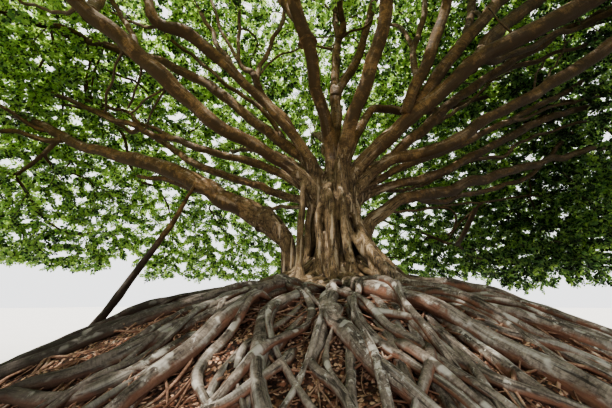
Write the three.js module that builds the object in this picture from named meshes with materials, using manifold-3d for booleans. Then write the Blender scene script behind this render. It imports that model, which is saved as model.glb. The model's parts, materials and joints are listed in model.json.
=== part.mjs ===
// Banyan tree: a mound of surface roots, a short fluted trunk, long spreading boughs and an open umbrella of leaves.
// Millimetres, +Z up. The origin is the middle of the flat cut at ground level, under the trunk.
// A place on the tree is told by its bearing in degrees (0 along +Y, 90 along +X), how far out it is, and its height.
import * as THREE from 'three';
import Module from 'manifold-3d';

// Mound of roots: its height under the trunk, how far out it runs, and how round its shoulder is
const moundRise = 2200;
const moundReach = 7200;
const moundShoulder = 1.15;
const moundUneven = [0.035, 0.025];

// Shallow dip in the mound round the trunk's foot: how deep, how far out it is deepest, and how wide
const footDip = { depth: 240, out: 1000, width: 1100 };

// Root plate: the fused wood that the separate roots lie on, this far under the mound's outer surface
const plateSink = 120;
const plateSides = 28;
const plateOuts = [5800, 5300, 4700, 4000, 3300, 2600, 1900, 1300, 850];

// Trunk: [height, radius] from its foot to the fork, with flutes where aerial roots have grown together
const trunkProfile = [
  [1900, 700], [2080, 590], [2350, 520], [2700, 480], [3100, 460], [3400, 450], [3650, 400], [3800, 290]];
const fluteCount = 7;
const fluteDepth = 0.075;
const trunkLean = 60;

// Surface roots run from the trunk's foot to the end of the mound
const rootStart = 450;
const rootSides = 5;
const rootSteps = 8;
const rootTip = 0.36;
const rootBedding = 0.15;

// Boughs
const boughSides = 7;
const stepsPerStation = 1.45;

// Crown: an umbrella between two ellipses with the same middle
const crownMiddle = 4600;
const crownReach = 10000;
const crownRise = 6600;
const hollowReach = 8000;
const hollowRise = 3650;
const crownUneven = [0.035, 0.03];
const fallWarp = [2.6, 1.5];
const bearingWarp = [5, 3];

// Leaf masses: rings of the umbrella, by how far they fall from its top in degrees
const massRings = [
  { name: 'leaves_rim', count: 9, from: 67, to: 112, turn: 8 },
  { name: 'leaves_shoulder', count: 6, from: 34, to: 66, turn: 31 },
  { name: 'leaves_top', count: 3, from: 2, to: 33, turn: 65 },
];
const massAround = 13;
const massDeep = 6;
const massSquareness = 5;
const massDent = 0.10;
const massGapDegrees = 0.5;
const hemDroop = 5;

// Clearance between neighbours
const clearance = 0.6;

const colours = {
  trunk: [0x8c7b66, 0.9],
  root: [0x7d7565, 0.95],
  bough: [0x7b6753, 0.85],
  leaves: [0x6a9431, 0.7],
};

// Each bough: its bearing at the trunk and at its tip, and its stations as [out, height, girth]
const boughs = [
  { name: 'bough_left_low', bearing: [271, 273], route: [
    [840, 1780, 290], [850, 2640, 330], [1110, 2940, 410], [2030, 3470, 400], [3200, 4150, 350],
    [5500, 5000, 250], [8900, 6600, 170]] },
  { name: 'bough_right_long', bearing: [115, 112], route: [
    [150, 3650, 270], [650, 4100, 270], [1500, 4780, 265], [2600, 5400, 265], [4100, 5850, 260], [8300, 7300, 170]] },
  { name: 'bough_left_upper', bearing: [267, 270], route: [
    [250, 3800, 250], [500, 4300, 235], [900, 4700, 230], [1700, 5400, 220], [3300, 6700, 200], [7400, 8500, 160]] },
  { name: 'bough_near_left', bearing: [200, 200], route: [
    [50, 3600, 280], [100, 4700, 270], [550, 5350, 235], [1000, 5950, 250], [1700, 6750, 220], [3400, 9100, 150]] },
  { name: 'bough_near_right', bearing: [145, 145], route: [
    [200, 3700, 270], [700, 4800, 260], [1200, 5400, 250], [1500, 6000, 250], [1850, 6800, 235], [3000, 9200, 150]] },
  { name: 'bough_left_long', bearing: [238, 238], route: [
    [250, 3500, 240], [1000, 4000, 230], [2300, 4500, 240], [3600, 5400, 240], [4700, 6100, 225], [7600, 7700, 150]] },
  { name: 'bough_left_steep', bearing: [245, 244], route: [
    [250, 3900, 210], [900, 4750, 190], [1660, 5570, 180], [2400, 6090, 212], [3020, 6360, 226], [3490, 6520, 190],
    [3720, 7010, 170], [5200, 9000, 140]] },
  { name: 'bough_right_low', bearing: [70, 68], route: [
    [560, 2450, 270], [700, 3050, 270], [1100, 3400, 255], [2600, 3900, 240], [5100, 4800, 200], [8800, 6000, 130]] },
  { name: 'bough_right_near', bearing: [106, 104], route: [
    [250, 3300, 230], [700, 3850, 205], [2100, 4250, 195], [3600, 4950, 190], [4600, 5500, 200], [8800, 6900, 140]] },
  { name: 'bough_right_middle', bearing: [86, 90], route: [
    [200, 3600, 220], [800, 4000, 210], [1600, 4700, 205], [2400, 5400, 200], [4100, 6600, 160], [7500, 8200, 130]] },
  { name: 'bough_right_far', bearing: [72, 72], route: [
    [300, 3350, 190], [900, 3700, 175], [2300, 4200, 175], [4200, 5250, 190], [6000, 6200, 180], [8600, 7000, 130]] },
  { name: 'bough_right_thin', bearing: [77, 75], route: [
    [300, 3500, 160], [800, 3850, 150], [2600, 4750, 150], [4500, 5750, 145], [7900, 7700, 115]] },
  { name: 'bough_left_thin', bearing: [278, 274], route: [
    [200, 3500, 190], [700, 3850, 180], [1900, 4500, 175], [3100, 4950, 160], [5400, 5900, 130], [7800, 7100, 100]] },
  { name: 'bough_left_far', bearing: [288, 290], route: [
    [250, 3350, 190], [800, 3600, 175], [2100, 4200, 180], [3400, 4800, 180], [5000, 5900, 170], [7800, 7900, 140]] },
  { name: 'bough_far_arching', bearing: [60, 58], route: [
    [200, 4000, 200], [800, 5300, 190], [1250, 5850, 190], [2100, 6100, 195], [3500, 6600, 175], [6400, 8200, 130]] },
  { name: 'bough_upright', bearing: [20, 20], route: [
    [150, 3900, 220], [220, 5300, 195], [500, 6700, 170], [750, 9300, 130]] },
  { name: 'bough_right_steep', bearing: [119, 115], route: [
    [1500, 4780, 200], [2100, 6000, 190], [2600, 7300, 180], [3100, 9000, 130]] },
  { name: 'bough_right_high', bearing: [113, 101], route: [
    [1550, 4800, 210], [2350, 5850, 210], [3200, 6800, 215], [3900, 7450, 210], [5800, 8900, 150]] },
  { name: 'bough_back_left', bearing: [325, 322], route: [
    [200, 3500, 260], [900, 4250, 240], [2000, 5150, 225], [4200, 6500, 200], [7300, 7900, 140]] },
  { name: 'bough_back', bearing: [355, 352], route: [
    [200, 3700, 230], [700, 4650, 220], [1700, 5750, 200], [3300, 6900, 175], [5900, 8500, 120]] },
  { name: 'bough_back_right', bearing: [32, 30], route: [
    [250, 3500, 240], [900, 4150, 225], [2100, 4950, 210], [4300, 6200, 190], [7500, 7700, 130]] },
];

// A round aerial root under the left boughs, and a leaning prop root that meets the front of the low left bough
const poleBearing = 222;
const poleRoute = [[850, 1790, 190], [825, 2150, 125], [815, 3000, 105], [800, 3700, 120]];
const propBearings = [262, 269.5];
const propRoute = [[4220, 840, 195], [3900, 1340, 165], [3515, 2067, 130], [3243, 2648, 117], [2948, 3270, 92],
  [2760, 3800, 78], [2700, 4020, 74]];

// Each surface root: its girth at the trunk, and its bearings at rootOuts
const rootOuts = [450, 1200, 2000, 2700, 3300, 3900, 5200, 6850];
const roots = [
  { name: 'root_front_a', girth: 250, bearings: [171, 170, 170, 165, 160, 158, 156, 153] },
  { name: 'root_front_b', girth: 225, bearings: [181, 181, 182, 182, 177, 172, 174, 178] },
  { name: 'root_front_c', girth: 205, bearings: [188, 189, 190, 192, 189, 183, 186, 190] },
  { name: 'root_front_d', girth: 185, bearings: [194, 196, 197, 197, 197, 198, 202, 204] },
  { name: 'root_front_e', girth: 195, bearings: [202, 203, 204, 203, 204, 209, 213, 216] },
  { name: 'root_front_f', girth: 205, bearings: [212, 212, 213, 214, 217, 219, 223, 228] },
  { name: 'root_front_g', girth: 190, bearings: [161, 160, 156, 148, 144, 142, 139, 136] },
  { name: 'root_left_a', girth: 220, bearings: [226, 230, 233, 235, 236, 237, 241, 246] },
  { name: 'root_left_b', girth: 235, bearings: [247, 251, 253, 254, 257, 259, 262, 266] },
  { name: 'root_left_c', girth: 215, bearings: [284, 287, 291, 295, 297, 297, 293, 290] },
  { name: 'root_back_a', girth: 225, bearings: [308, 311, 314, 313, 312, 314, 317, 318] },
  { name: 'root_back_b', girth: 210, bearings: [333, 336, 339, 338, 336, 335, 338, 342] },
  { name: 'root_back_c', girth: 225, bearings: [0, 359, 358, 0, 3, 5, 7, 5] },
  { name: 'root_back_d', girth: 210, bearings: [27, 30, 33, 33, 31, 29, 31, 34] },
  { name: 'root_right_a', girth: 220, bearings: [56, 59, 61, 60, 58, 58, 61, 66] },
  { name: 'root_right_b', girth: 225, bearings: [88, 90, 90, 93, 95, 96, 94, 90] },
  { name: 'root_right_c', girth: 215, bearings: [116, 119, 119, 117, 116, 117, 120, 117] },
];

const wasm = await Module();
wasm.setup();

const degrees = Math.PI / 180;

function place(bearing, out, height) {
  return new THREE.Vector3(out * Math.sin(bearing * degrees), out * Math.cos(bearing * degrees), height);
}

// Slow wave round the tree that makes the mound and the crown uneven
function unevenness(bearing, [large, small], turn) {
  return 1 + large * Math.sin((2 * bearing + turn) * degrees) + small * Math.sin((5 * bearing + 3 * turn) * degrees);
}

function moundHeight(bearing, out) {
  const share = Math.min(out / (moundReach * unevenness(bearing, moundUneven, 20)), 1);
  const dip = footDip.depth * Math.exp(-(((out - footDip.out) / footDip.width) ** 2));
  return moundRise * (1 + Math.cos(Math.PI * share ** moundShoulder)) / 2 - dip;
}

// How far out the plate's surface comes down to the ground, by halving the stretch that holds it
function plateRim(bearing) {
  let inner = 0;
  let outer = moundReach;
  while (outer - inner > 1) {
    const middle = (inner + outer) / 2;
    if (moundHeight(bearing, middle) > plateSink) inner = middle;
    else outer = middle;
  }
  return inner;
}

// Closed solid from rings of equal count, each running anticlockwise seen from the last ring's side
function ringStack(rings) {
  const count = rings[0].length;
  const points = rings.flat();
  const centres = [rings[0], rings.at(-1)].map((ring) => {
    const centre = new THREE.Vector3();
    ring.forEach((point) => centre.addScaledVector(point, 1 / count));
    return centre;
  });
  const index = [];
  const last = (rings.length - 1) * count;
  for (let side = 0; side < count; side++) {
    const next = (side + 1) % count;
    for (let base = 0; base < last; base += count) {
      index.push(base + side, base + next, base + count + next);
      index.push(base + side, base + count + next, base + count + side);
    }
    index.push(points.length, next, side);
    index.push(points.length + 1, last + side, last + next);
  }
  const geometry = new THREE.BufferGeometry().setFromPoints([...points, ...centres]);
  geometry.setIndex(index);
  return geometry;
}

// Tapering tube through stations, each with a place and a girth
function limbGeometry(stations, sides, steps) {
  const curve = new THREE.CatmullRomCurve3(stations.map((station) => station.place), false, 'centripetal');
  const rings = [];
  const across = new THREE.Vector3(0.31, 0.52, 0.79);
  for (let step = 0; step <= steps; step++) {
    const share = step / steps;
    const along = curve.getTangent(share);
    across.addScaledVector(along, -across.dot(along)).normalize();
    const upward = new THREE.Vector3().crossVectors(along, across);
    const radius = girthAt(stations, share) / 2;
    rings.push(Array.from({ length: sides }, (_, side) => {
      const turn = 2 * Math.PI * side / sides;
      return curve.getPoint(share)
        .addScaledVector(across, radius * Math.cos(turn))
        .addScaledVector(upward, radius * Math.sin(turn));
    }));
  }
  return ringStack(rings);
}

function girthAt(stations, share) {
  const spot = share * (stations.length - 1);
  const lower = Math.min(Math.floor(spot), stations.length - 2);
  return THREE.MathUtils.lerp(stations[lower].girth, stations[lower + 1].girth, spot - lower);
}

function boughGeometry({ bearing, route }) {
  const stations = route.map(([out, height, girth], number) => {
    const turned = THREE.MathUtils.lerp(bearing[0], bearing[1], number / (route.length - 1));
    return { place: place(turned, out, height), girth };
  });
  return limbGeometry(stations, boughSides, Math.round(stepsPerStation * (route.length - 1)));
}

function rootGeometry({ girth, bearings }) {
  const stations = bearings.map((bearing, number) => {
    const out = rootOuts[number];
    const share = (out - rootStart) / (rootOuts.at(-1) - rootStart);
    const width = girth * THREE.MathUtils.lerp(1, rootTip, Math.sqrt(share));
    const lowest = width * 0.5 + 1;
    return { place: place(bearing, out, Math.max(moundHeight(bearing, out) - width * rootBedding, lowest)), girth: width };
  });
  return limbGeometry(stations, rootSides, rootSteps);
}

function trunkGeometry() {
  const bearings = Array.from({ length: plateSides }, (_, side) => -360 * side / plateSides);
  const rim = bearings.map((bearing) => place(bearing, plateRim(bearing), 0));
  const plate = plateOuts.map((out) => bearings.map((bearing) => {
    const spread = out * plateRim(bearing) / plateRim(180);
    return place(bearing, spread, moundHeight(bearing, spread) - plateSink);
  }));
  const foot = trunkProfile[0][0];
  const column = trunkProfile.map(([height, radius]) => bearings.map((bearing) => {
    const flute = 1 + fluteDepth * Math.cos(fluteCount * bearing * degrees);
    const lean = trunkLean * (height - foot) / (trunkProfile.at(-1)[0] - foot);
    return place(bearing, radius * flute, height).add(new THREE.Vector3(lean, 0, 0));
  }));
  return ringStack([rim, ...plate, ...column]);
}

// Point of the umbrella: fall in degrees from its top, depth 0 on the inner ellipse and 1 on the outer.
// Slow waves bend the lines of equal bearing and fall, so that no two masses have the same outline.
function crownPoint(bearing, fall, depth) {
  const shared = Math.sin(fall * degrees);
  const bentFall = fall + shared * fallWarp[0] * Math.sin((3 * bearing + 40) * degrees)
    + shared * fallWarp[1] * Math.cos((7 * bearing + 15) * degrees);
  const bentBearing = bearing + bearingWarp[0] * Math.sin((4 * fall + 2 * bearing) * degrees)
    + bearingWarp[1] * Math.cos((9 * fall) * degrees);
  const wave = unevenness(bentBearing, crownUneven, 70);
  const reach = THREE.MathUtils.lerp(hollowReach, crownReach, depth) * wave;
  const rise = THREE.MathUtils.lerp(hollowRise, crownRise, depth);
  return place(bentBearing, reach * Math.sin(bentFall * degrees), crownMiddle + rise * Math.cos(bentFall * degrees));
}

// Soft dents that differ from mass to mass, between 0 and 1
function dents(direction, seed) {
  const first = Math.sin(3.1 * direction.x + 1.7 * seed) * Math.cos(2.7 * direction.y - seed);
  const second = Math.sin(5.3 * direction.y + 2.3 * seed) * Math.cos(4.1 * direction.z + 0.9 * seed);
  return 0.5 + 0.3 * first + 0.2 * second;
}

// A rounded, dented block of the umbrella that stays inside its own bearings and fall
function massGeometry(cell, seed) {
  const rings = [];
  for (let layer = 0; layer < massDeep; layer++) {
    const polar = Math.PI * (1 - (layer + 0.5) / massDeep);
    rings.push(Array.from({ length: massAround }, (_, side) => {
      const turn = 2 * Math.PI * side / massAround;
      const direction = new THREE.Vector3(
        Math.sin(polar) * Math.cos(turn), Math.sin(polar) * Math.sin(turn), Math.cos(polar));
      const powers = direction.toArray().map((value) => Math.abs(value) ** massSquareness);
      const length = (powers[0] + powers[1] + powers[2]) ** (-1 / massSquareness);
      const spot = direction.clone().multiplyScalar(length * (1 - massDent * dents(direction, seed)));
      const bearing = cell.bearing + spot.x * cell.halfWidth;
      return crownPoint(bearing, cell.fall + spot.y * cell.halfFall, 0.5 + 0.5 * spot.z);
    }));
  }
  return ringStack(rings);
}

function massSpecs() {
  return massRings.flatMap(({ name, count, from, to, turn }, ring) => Array.from({ length: count }, (_, number) => {
    const seed = 1 + number + 10 * ring;
    const hem = ring === 0 ? hemDroop * Math.sin(2.4 * number) : 0;
    return {
      name: `${name}_${number + 1}`,
      cell: {
        bearing: turn + 360 * number / count,
        halfWidth: 180 / count - massGapDegrees,
        fall: (from + to + hem) / 2,
        halfFall: (to + hem - from) / 2,
      },
      seed,
    };
  }));
}

// Copy of a closed shape with every point moved out by the clearance, used to cut its neighbours
function grown(geometry) {
  const copy = geometry.clone();
  copy.computeVertexNormals();
  const { position, normal } = copy.attributes;
  for (let corner = 0; corner < position.count; corner++) {
    position.setXYZ(
      corner,
      position.getX(corner) + clearance * normal.getX(corner),
      position.getY(corner) + clearance * normal.getY(corner),
      position.getZ(corner) + clearance * normal.getZ(corner),
    );
  }
  return copy;
}

function toSolid(geometry) {
  return new wasm.Manifold(new wasm.Mesh({
    numProp: 3,
    vertProperties: new Float32Array(geometry.attributes.position.array),
    triVerts: new Uint32Array(geometry.index.array),
  }));
}

function toGeometry(solid) {
  const { vertProperties, triVerts } = solid.getMesh();
  const geometry = new THREE.BufferGeometry();
  geometry.setAttribute('position', new THREE.BufferAttribute(vertProperties, 3));
  geometry.setIndex(new THREE.BufferAttribute(triVerts, 1));
  return geometry;
}

// What is left of a shape outside its neighbours: its largest single piece
function trimmed(geometry, cutters) {
  const rest = cutters.reduce((solid, cutter) => solid.subtract(cutter), toSolid(geometry));
  const pieces = rest.decompose().sort((one, other) => other.volume() - one.volume());
  return toGeometry(pieces[0]);
}

function addPiece(tree, name, geometry, finish) {
  const [colour, roughness] = colours[finish];
  const material = new THREE.MeshStandardMaterial({ color: colour, roughness, metalness: 0 });
  const mesh = new THREE.Mesh(geometry, material);
  mesh.name = name;
  tree.add(mesh);
}

// Adds limbs in order, each cut back by everything that was there before it
function addLimbs(tree, limbs, cutters, finish) {
  for (const { name, geometry } of limbs) {
    addPiece(tree, name, trimmed(geometry, cutters), finish);
    cutters.push(toSolid(grown(geometry)));
  }
}

function banyanTree() {
  const tree = new THREE.Group();
  const trunk = trunkGeometry();
  addPiece(tree, 'trunk', trunk, 'trunk');
  const cutters = [toSolid(grown(trunk))];
  for (const { name, cell, seed } of massSpecs()) {
    const geometry = massGeometry(cell, seed);
    addPiece(tree, name, geometry, 'leaves');
    cutters.push(toSolid(grown(geometry)));
  }
  addLimbs(tree, boughs.map((bough) => ({ name: bough.name, geometry: boughGeometry(bough) })), cutters, 'bough');
  addLimbs(tree, [
    { name: 'aerial_root', geometry: boughGeometry({ bearing: [poleBearing, poleBearing], route: poleRoute }) },
    { name: 'prop_root', geometry: boughGeometry({ bearing: propBearings, route: propRoute }) },
  ], cutters, 'bough');
  addLimbs(tree, roots.map((root) => ({ name: root.name, geometry: rootGeometry(root) })), cutters, 'root');
  return tree;
}

export default banyanTree();
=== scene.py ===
import json
import math
import time
import bpy
import numpy as np
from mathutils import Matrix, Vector
from mathutils.bvhtree import BVHTree

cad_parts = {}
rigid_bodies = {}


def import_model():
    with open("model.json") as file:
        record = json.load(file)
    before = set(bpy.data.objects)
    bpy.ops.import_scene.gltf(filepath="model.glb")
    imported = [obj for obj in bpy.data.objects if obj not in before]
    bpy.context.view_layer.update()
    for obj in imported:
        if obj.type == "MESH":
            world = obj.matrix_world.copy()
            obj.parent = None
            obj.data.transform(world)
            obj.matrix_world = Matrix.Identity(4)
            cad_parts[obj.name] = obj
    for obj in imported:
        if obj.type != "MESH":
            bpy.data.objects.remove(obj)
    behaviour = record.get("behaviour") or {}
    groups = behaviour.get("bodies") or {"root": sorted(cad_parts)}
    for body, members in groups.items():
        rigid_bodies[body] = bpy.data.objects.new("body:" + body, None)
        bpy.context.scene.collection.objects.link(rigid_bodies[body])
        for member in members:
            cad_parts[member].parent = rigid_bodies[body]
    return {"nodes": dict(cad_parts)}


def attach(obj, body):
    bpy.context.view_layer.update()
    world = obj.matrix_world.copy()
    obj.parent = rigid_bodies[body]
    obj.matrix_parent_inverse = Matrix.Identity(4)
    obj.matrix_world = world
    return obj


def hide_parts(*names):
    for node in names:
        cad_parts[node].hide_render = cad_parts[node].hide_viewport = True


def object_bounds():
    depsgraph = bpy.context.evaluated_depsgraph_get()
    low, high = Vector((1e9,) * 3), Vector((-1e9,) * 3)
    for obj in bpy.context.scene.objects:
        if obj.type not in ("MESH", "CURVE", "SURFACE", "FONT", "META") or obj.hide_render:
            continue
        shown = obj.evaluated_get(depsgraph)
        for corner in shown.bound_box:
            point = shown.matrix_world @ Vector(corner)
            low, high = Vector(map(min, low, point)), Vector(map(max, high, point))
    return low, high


# Banyan tree: root mound, fluted trunk, long boughs and an umbrella of small leaves.
# Metres. A place is told by its bearing in degrees (0 along +Y, 90 along +X), how far out it is
# and its height.

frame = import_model()
cadBox = [np.array(corner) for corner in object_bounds()]
startTime = time.time()


def report(words):
    print(f"banyan: {words} ({time.time() - startTime:.0f} s)")


# Camera

view = {
    "stand": (0.0, -5.2, 1.65),  # eye height, in front of the trunk
    "tiltUp": 18.4, "turnLeft": 5.7,
    "lens": 17.0, "sensor": 36.0,
    "picture": (612, 408),
    "farthest": 400,
}


def addCamera():
    data = bpy.data.cameras.new("camera")
    data.lens = view["lens"]
    data.sensor_width = view["sensor"]
    data.clip_end = view["farthest"]
    camera = bpy.data.objects.new("camera", data)
    camera.location = view["stand"]
    camera.rotation_euler = (math.radians(90 + view["tiltUp"]), 0, math.radians(view["turnLeft"]))
    bpy.context.scene.collection.objects.link(camera)
    bpy.context.scene.camera = camera


def viewAxes():  # right and up are as long as half the picture is wide, one metre ahead
    tilt, turn = math.radians(view["tiltUp"]), math.radians(view["turnLeft"])
    ahead = np.array([-math.sin(turn) * math.cos(tilt), math.cos(turn) * math.cos(tilt), math.sin(tilt)])
    right = np.array([math.cos(turn), math.sin(turn), 0.0])
    half = view["sensor"] / 2 / view["lens"]
    return ahead, half * right, half * np.cross(right, ahead)


def seenAt(points):  # place in the camera's frame, -1 to 1 across it, and distance ahead
    ahead, right, up = viewAxes()
    gap = points - view["stand"]
    depth = gap @ ahead
    scale = (right @ right) * np.maximum(depth, 0.1)
    return gap @ right / scale, gap @ up / scale, depth


addCamera()


# Node building

class Wire:  # a socket whose arithmetic adds Math nodes
    def __init__(self, graph, socket):
        self.graph = graph
        self.socket = socket

    def math(self, operation, first, second=0.0):
        node = self.graph.node("ShaderNodeMath", {"operation": operation}, {0: first, 1: second})
        return Wire(self.graph, node.outputs[0])

    def __add__(self, other):
        return self.math("ADD", self, other)

    def __radd__(self, other):
        return self.math("ADD", other, self)

    def __sub__(self, other):
        return self.math("SUBTRACT", self, other)

    def __rsub__(self, other):
        return self.math("SUBTRACT", other, self)

    def __mul__(self, other):
        return self.math("MULTIPLY", self, other)

    def __rmul__(self, other):
        return self.math("MULTIPLY", other, self)


class Graph:
    def __init__(self, tree):
        self.tree = tree

    def node(self, kind, settings=None, values=None):
        node = self.tree.nodes.new(kind)
        for key, setting in (settings or {}).items():
            if key == "stops":
                self.fillRamp(node.color_ramp, setting)
            else:
                setattr(node, key, setting)
        for key, value in (values or {}).items():
            if isinstance(value, Wire):
                self.tree.links.new(value.socket, node.inputs[key])
            elif node.inputs[key].type == "RGBA":
                node.inputs[key].default_value = (*value, 1.0)
            else:
                node.inputs[key].default_value = value
        return node

    def wire(self, kind, settings=None, values=None, output=0):
        return Wire(self, self.node(kind, settings, values).outputs[output])

    def fillRamp(self, ramp, stops):
        while len(ramp.elements) < len(stops):
            ramp.elements.new(1.0)
        for element, (position, colour) in zip(ramp.elements, stops):
            element.position = position
            element.color = (*colour, 1.0)

    def ramp(self, factor, stops):
        return self.wire("ShaderNodeValToRGB", {"stops": stops}, {0: factor})

    def band(self, value, low, high):  # 0 below low, 1 above high, smooth between
        settings = {"interpolation_type": "SMOOTHSTEP"}
        return self.wire("ShaderNodeMapRange", settings, {0: value, 1: low, 2: high})

    def mix(self, factor, first, second):
        values = {0: factor, 6: first, 7: second}
        return self.wire("ShaderNodeMix", {"data_type": "RGBA"}, values, 2)

    def noise(self, vector, scale, detail=3.0, roughness=0.5, distortion=0.0):
        return self.wire("ShaderNodeTexNoise", None, {
            "Vector": vector, "Scale": scale, "Detail": detail, "Roughness": roughness,
            "Distortion": distortion})

    def drawn(self, grain, factor):  # squeezes or draws out the grain along the limb
        return self.wire("ShaderNodeVectorMath", {"operation": "MULTIPLY"}, {0: grain, 1: (1.0, 1.0, factor)})

    def objectPlace(self):
        return self.wire("ShaderNodeTexCoord", None, None, "Object")

    def field(self, name, kind="FLOAT_VECTOR"):  # a value that the mesh carries at each point
        return self.wire("GeometryNodeInputNamedAttribute", {"data_type": kind}, {"Name": name})

    def coat(self, inputs):
        surface = self.wire("ShaderNodeBsdfPrincipled", None, inputs)
        self.node("ShaderNodeOutputMaterial", None, {"Surface": surface})


def newMaterial(name):
    material = bpy.data.materials.new(name)
    material.use_nodes = True
    material.node_tree.nodes.clear()
    return material, Graph(material.node_tree)


# Bark finishes: grain is the place along and round a straightened limb, rise how far a spot faces up

barkLooks = {
    "trunk": {
        "light": (0.176, 0.120, 0.066), "middle": (0.086, 0.054, 0.026), "dark": (0.012, 0.008, 0.005),
        "pale": (0.300, 0.230, 0.162), "under": (0.053, 0.027, 0.015), "paleShare": 0.40,
        "underTop": -0.9, "streak": 0.75, "rings": 0.10, "fibres": 0.90, "roughness": 0.82,
    },
    "bough": {
        "light": (0.198, 0.112, 0.043), "middle": (0.106, 0.057, 0.018), "dark": (0.026, 0.014, 0.005),
        # painted shade: the bough's under colour darkens its underside
        "pale": (0.387, 0.299, 0.233), "under": (0.040, 0.022, 0.007), "paleShare": 0.46,
        "underTop": -0.15, "streak": 0.30, "rings": 0.45, "fibres": 0.45, "roughness": 0.74,
    },
    "root": {
        "light": (0.213, 0.176, 0.150), "middle": (0.112, 0.089, 0.073), "dark": (0.018, 0.013, 0.010),
        "pale": (0.403, 0.378, 0.347), "under": (0.140, 0.060, 0.036), "paleShare": 0.44,
        "underTop": 0.18, "streak": 0.35, "rings": 0.22, "fibres": 0.85, "roughness": 0.86,
    },
    "rootlet": {
        "light": (0.276, 0.170, 0.120), "middle": (0.129, 0.070, 0.046), "dark": (0.029, 0.014, 0.010),
        "pale": (0.368, 0.313, 0.248), "under": (0.136, 0.056, 0.032), "paleShare": 0.40,
        "underTop": 0.1, "streak": 0.0, "rings": 0.2, "fibres": 0.5, "roughness": 0.88,
    },
}
barkZones = {  # where trunk bark passes into root bark and bough bark, and where painted shade darkens the bark
    "middle": (0.0, 0.0, 2.6), "rootStart": (0.95, 2.05), "boughStart": (1.20, 2.40), "upper": (2.4, 2.8),
    "shade": (-0.4, -2.4), "shadeDepth": 0.86,  # painted shade: the left of the mound is darker
    "dim": (0.8, 3.2), "dimDepth": 0.42,  # painted shade: the boughs on the right are darker too
}
barkPattern = {  # noises as scale, detail, roughness and distortion
    "patches": (2.6, 4.0, 0.6), "blotches": (9.0, 5.0, 0.62, 0.6), "speckle": (55.0, 3.0, 0.65),
    "fibres": (42.0, 4.0, 0.6, 0.3), "rings": (11.0, 3.0, 0.55, 0.2), "streaks": (16.0, 3.0, 0.55, 0.3),
    "lichen": (26.0, 5.0, 0.7, 0.5), "lichenDrift": (3.4, 3.0), "dapples": (6.5, 2.0, 0.6),
    "fibreDraw": 0.10, "ringDraw": 9.0, "streakDraw": 0.09,
    "middleFrom": (0.38, 0.48), "lightFrom": (0.47, 0.59), "fibreFrom": (0.50, 0.36),  # over what noise each
    "streakFrom": (0.56, 0.64), "ringFrom": (0.52, 0.40), "dappleFrom": (0.59, 0.66),  # colour comes in
    "lichenBand": 0.07, "lichenRise": (-0.3, 0.6), "lichenDepth": 0.75, "underBand": (0.25, -0.45),
    "underDepth": 0.85, "dappleRise": (0.0, 0.5), "dappleDepth": (0.60, 0.45),
    "bump": 0.014, "rootletBump": 0.004,
    "toneShares": (0.34, 0.40, 0.26), "lichenShares": (0.6, 0.4), "ragged": (1.8, 2.2),
    "lumps": 0.9, "grit": 0.2, "dullness": 0.25,
}


def zonedLook(graph, place):  # trunk bark that passes into root bark below and bough bark above
    height = graph.wire("ShaderNodeSeparateXYZ", None, {0: place}, 2)
    values = {0: place, 1: barkZones["middle"]}
    away = graph.wire("ShaderNodeVectorMath", {"operation": "DISTANCE"}, values, 1)
    upper = graph.band(height, *barkZones["upper"])
    (rootNear, rootFar), (boughNear, boughFar) = barkZones["rootStart"], barkZones["boughStart"]
    near, far = upper * (boughNear - rootNear) + rootNear, upper * (boughFar - rootFar) + rootFar
    share = graph.band(away, near, far)
    look = {}
    for key, value in barkLooks["trunk"].items():
        root, bough = barkLooks["root"][key], barkLooks["bough"][key]
        if isinstance(value, tuple):
            look[key] = graph.mix(share, value, graph.mix(upper, root, bough))
        else:
            look[key] = value + share * (root - value + upper * (bough - root))
    # painted shade: darker bark on the left of the mound below and on the right boughs above
    side = graph.wire("ShaderNodeSeparateXYZ", None, {0: place}, 0)
    below = graph.band(side, *barkZones["shade"]) * barkZones["shadeDepth"]
    above = graph.band(side, *barkZones["dim"]) * barkZones["dimDepth"]
    look["shade"] = below + upper * (above - below)
    return look


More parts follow.
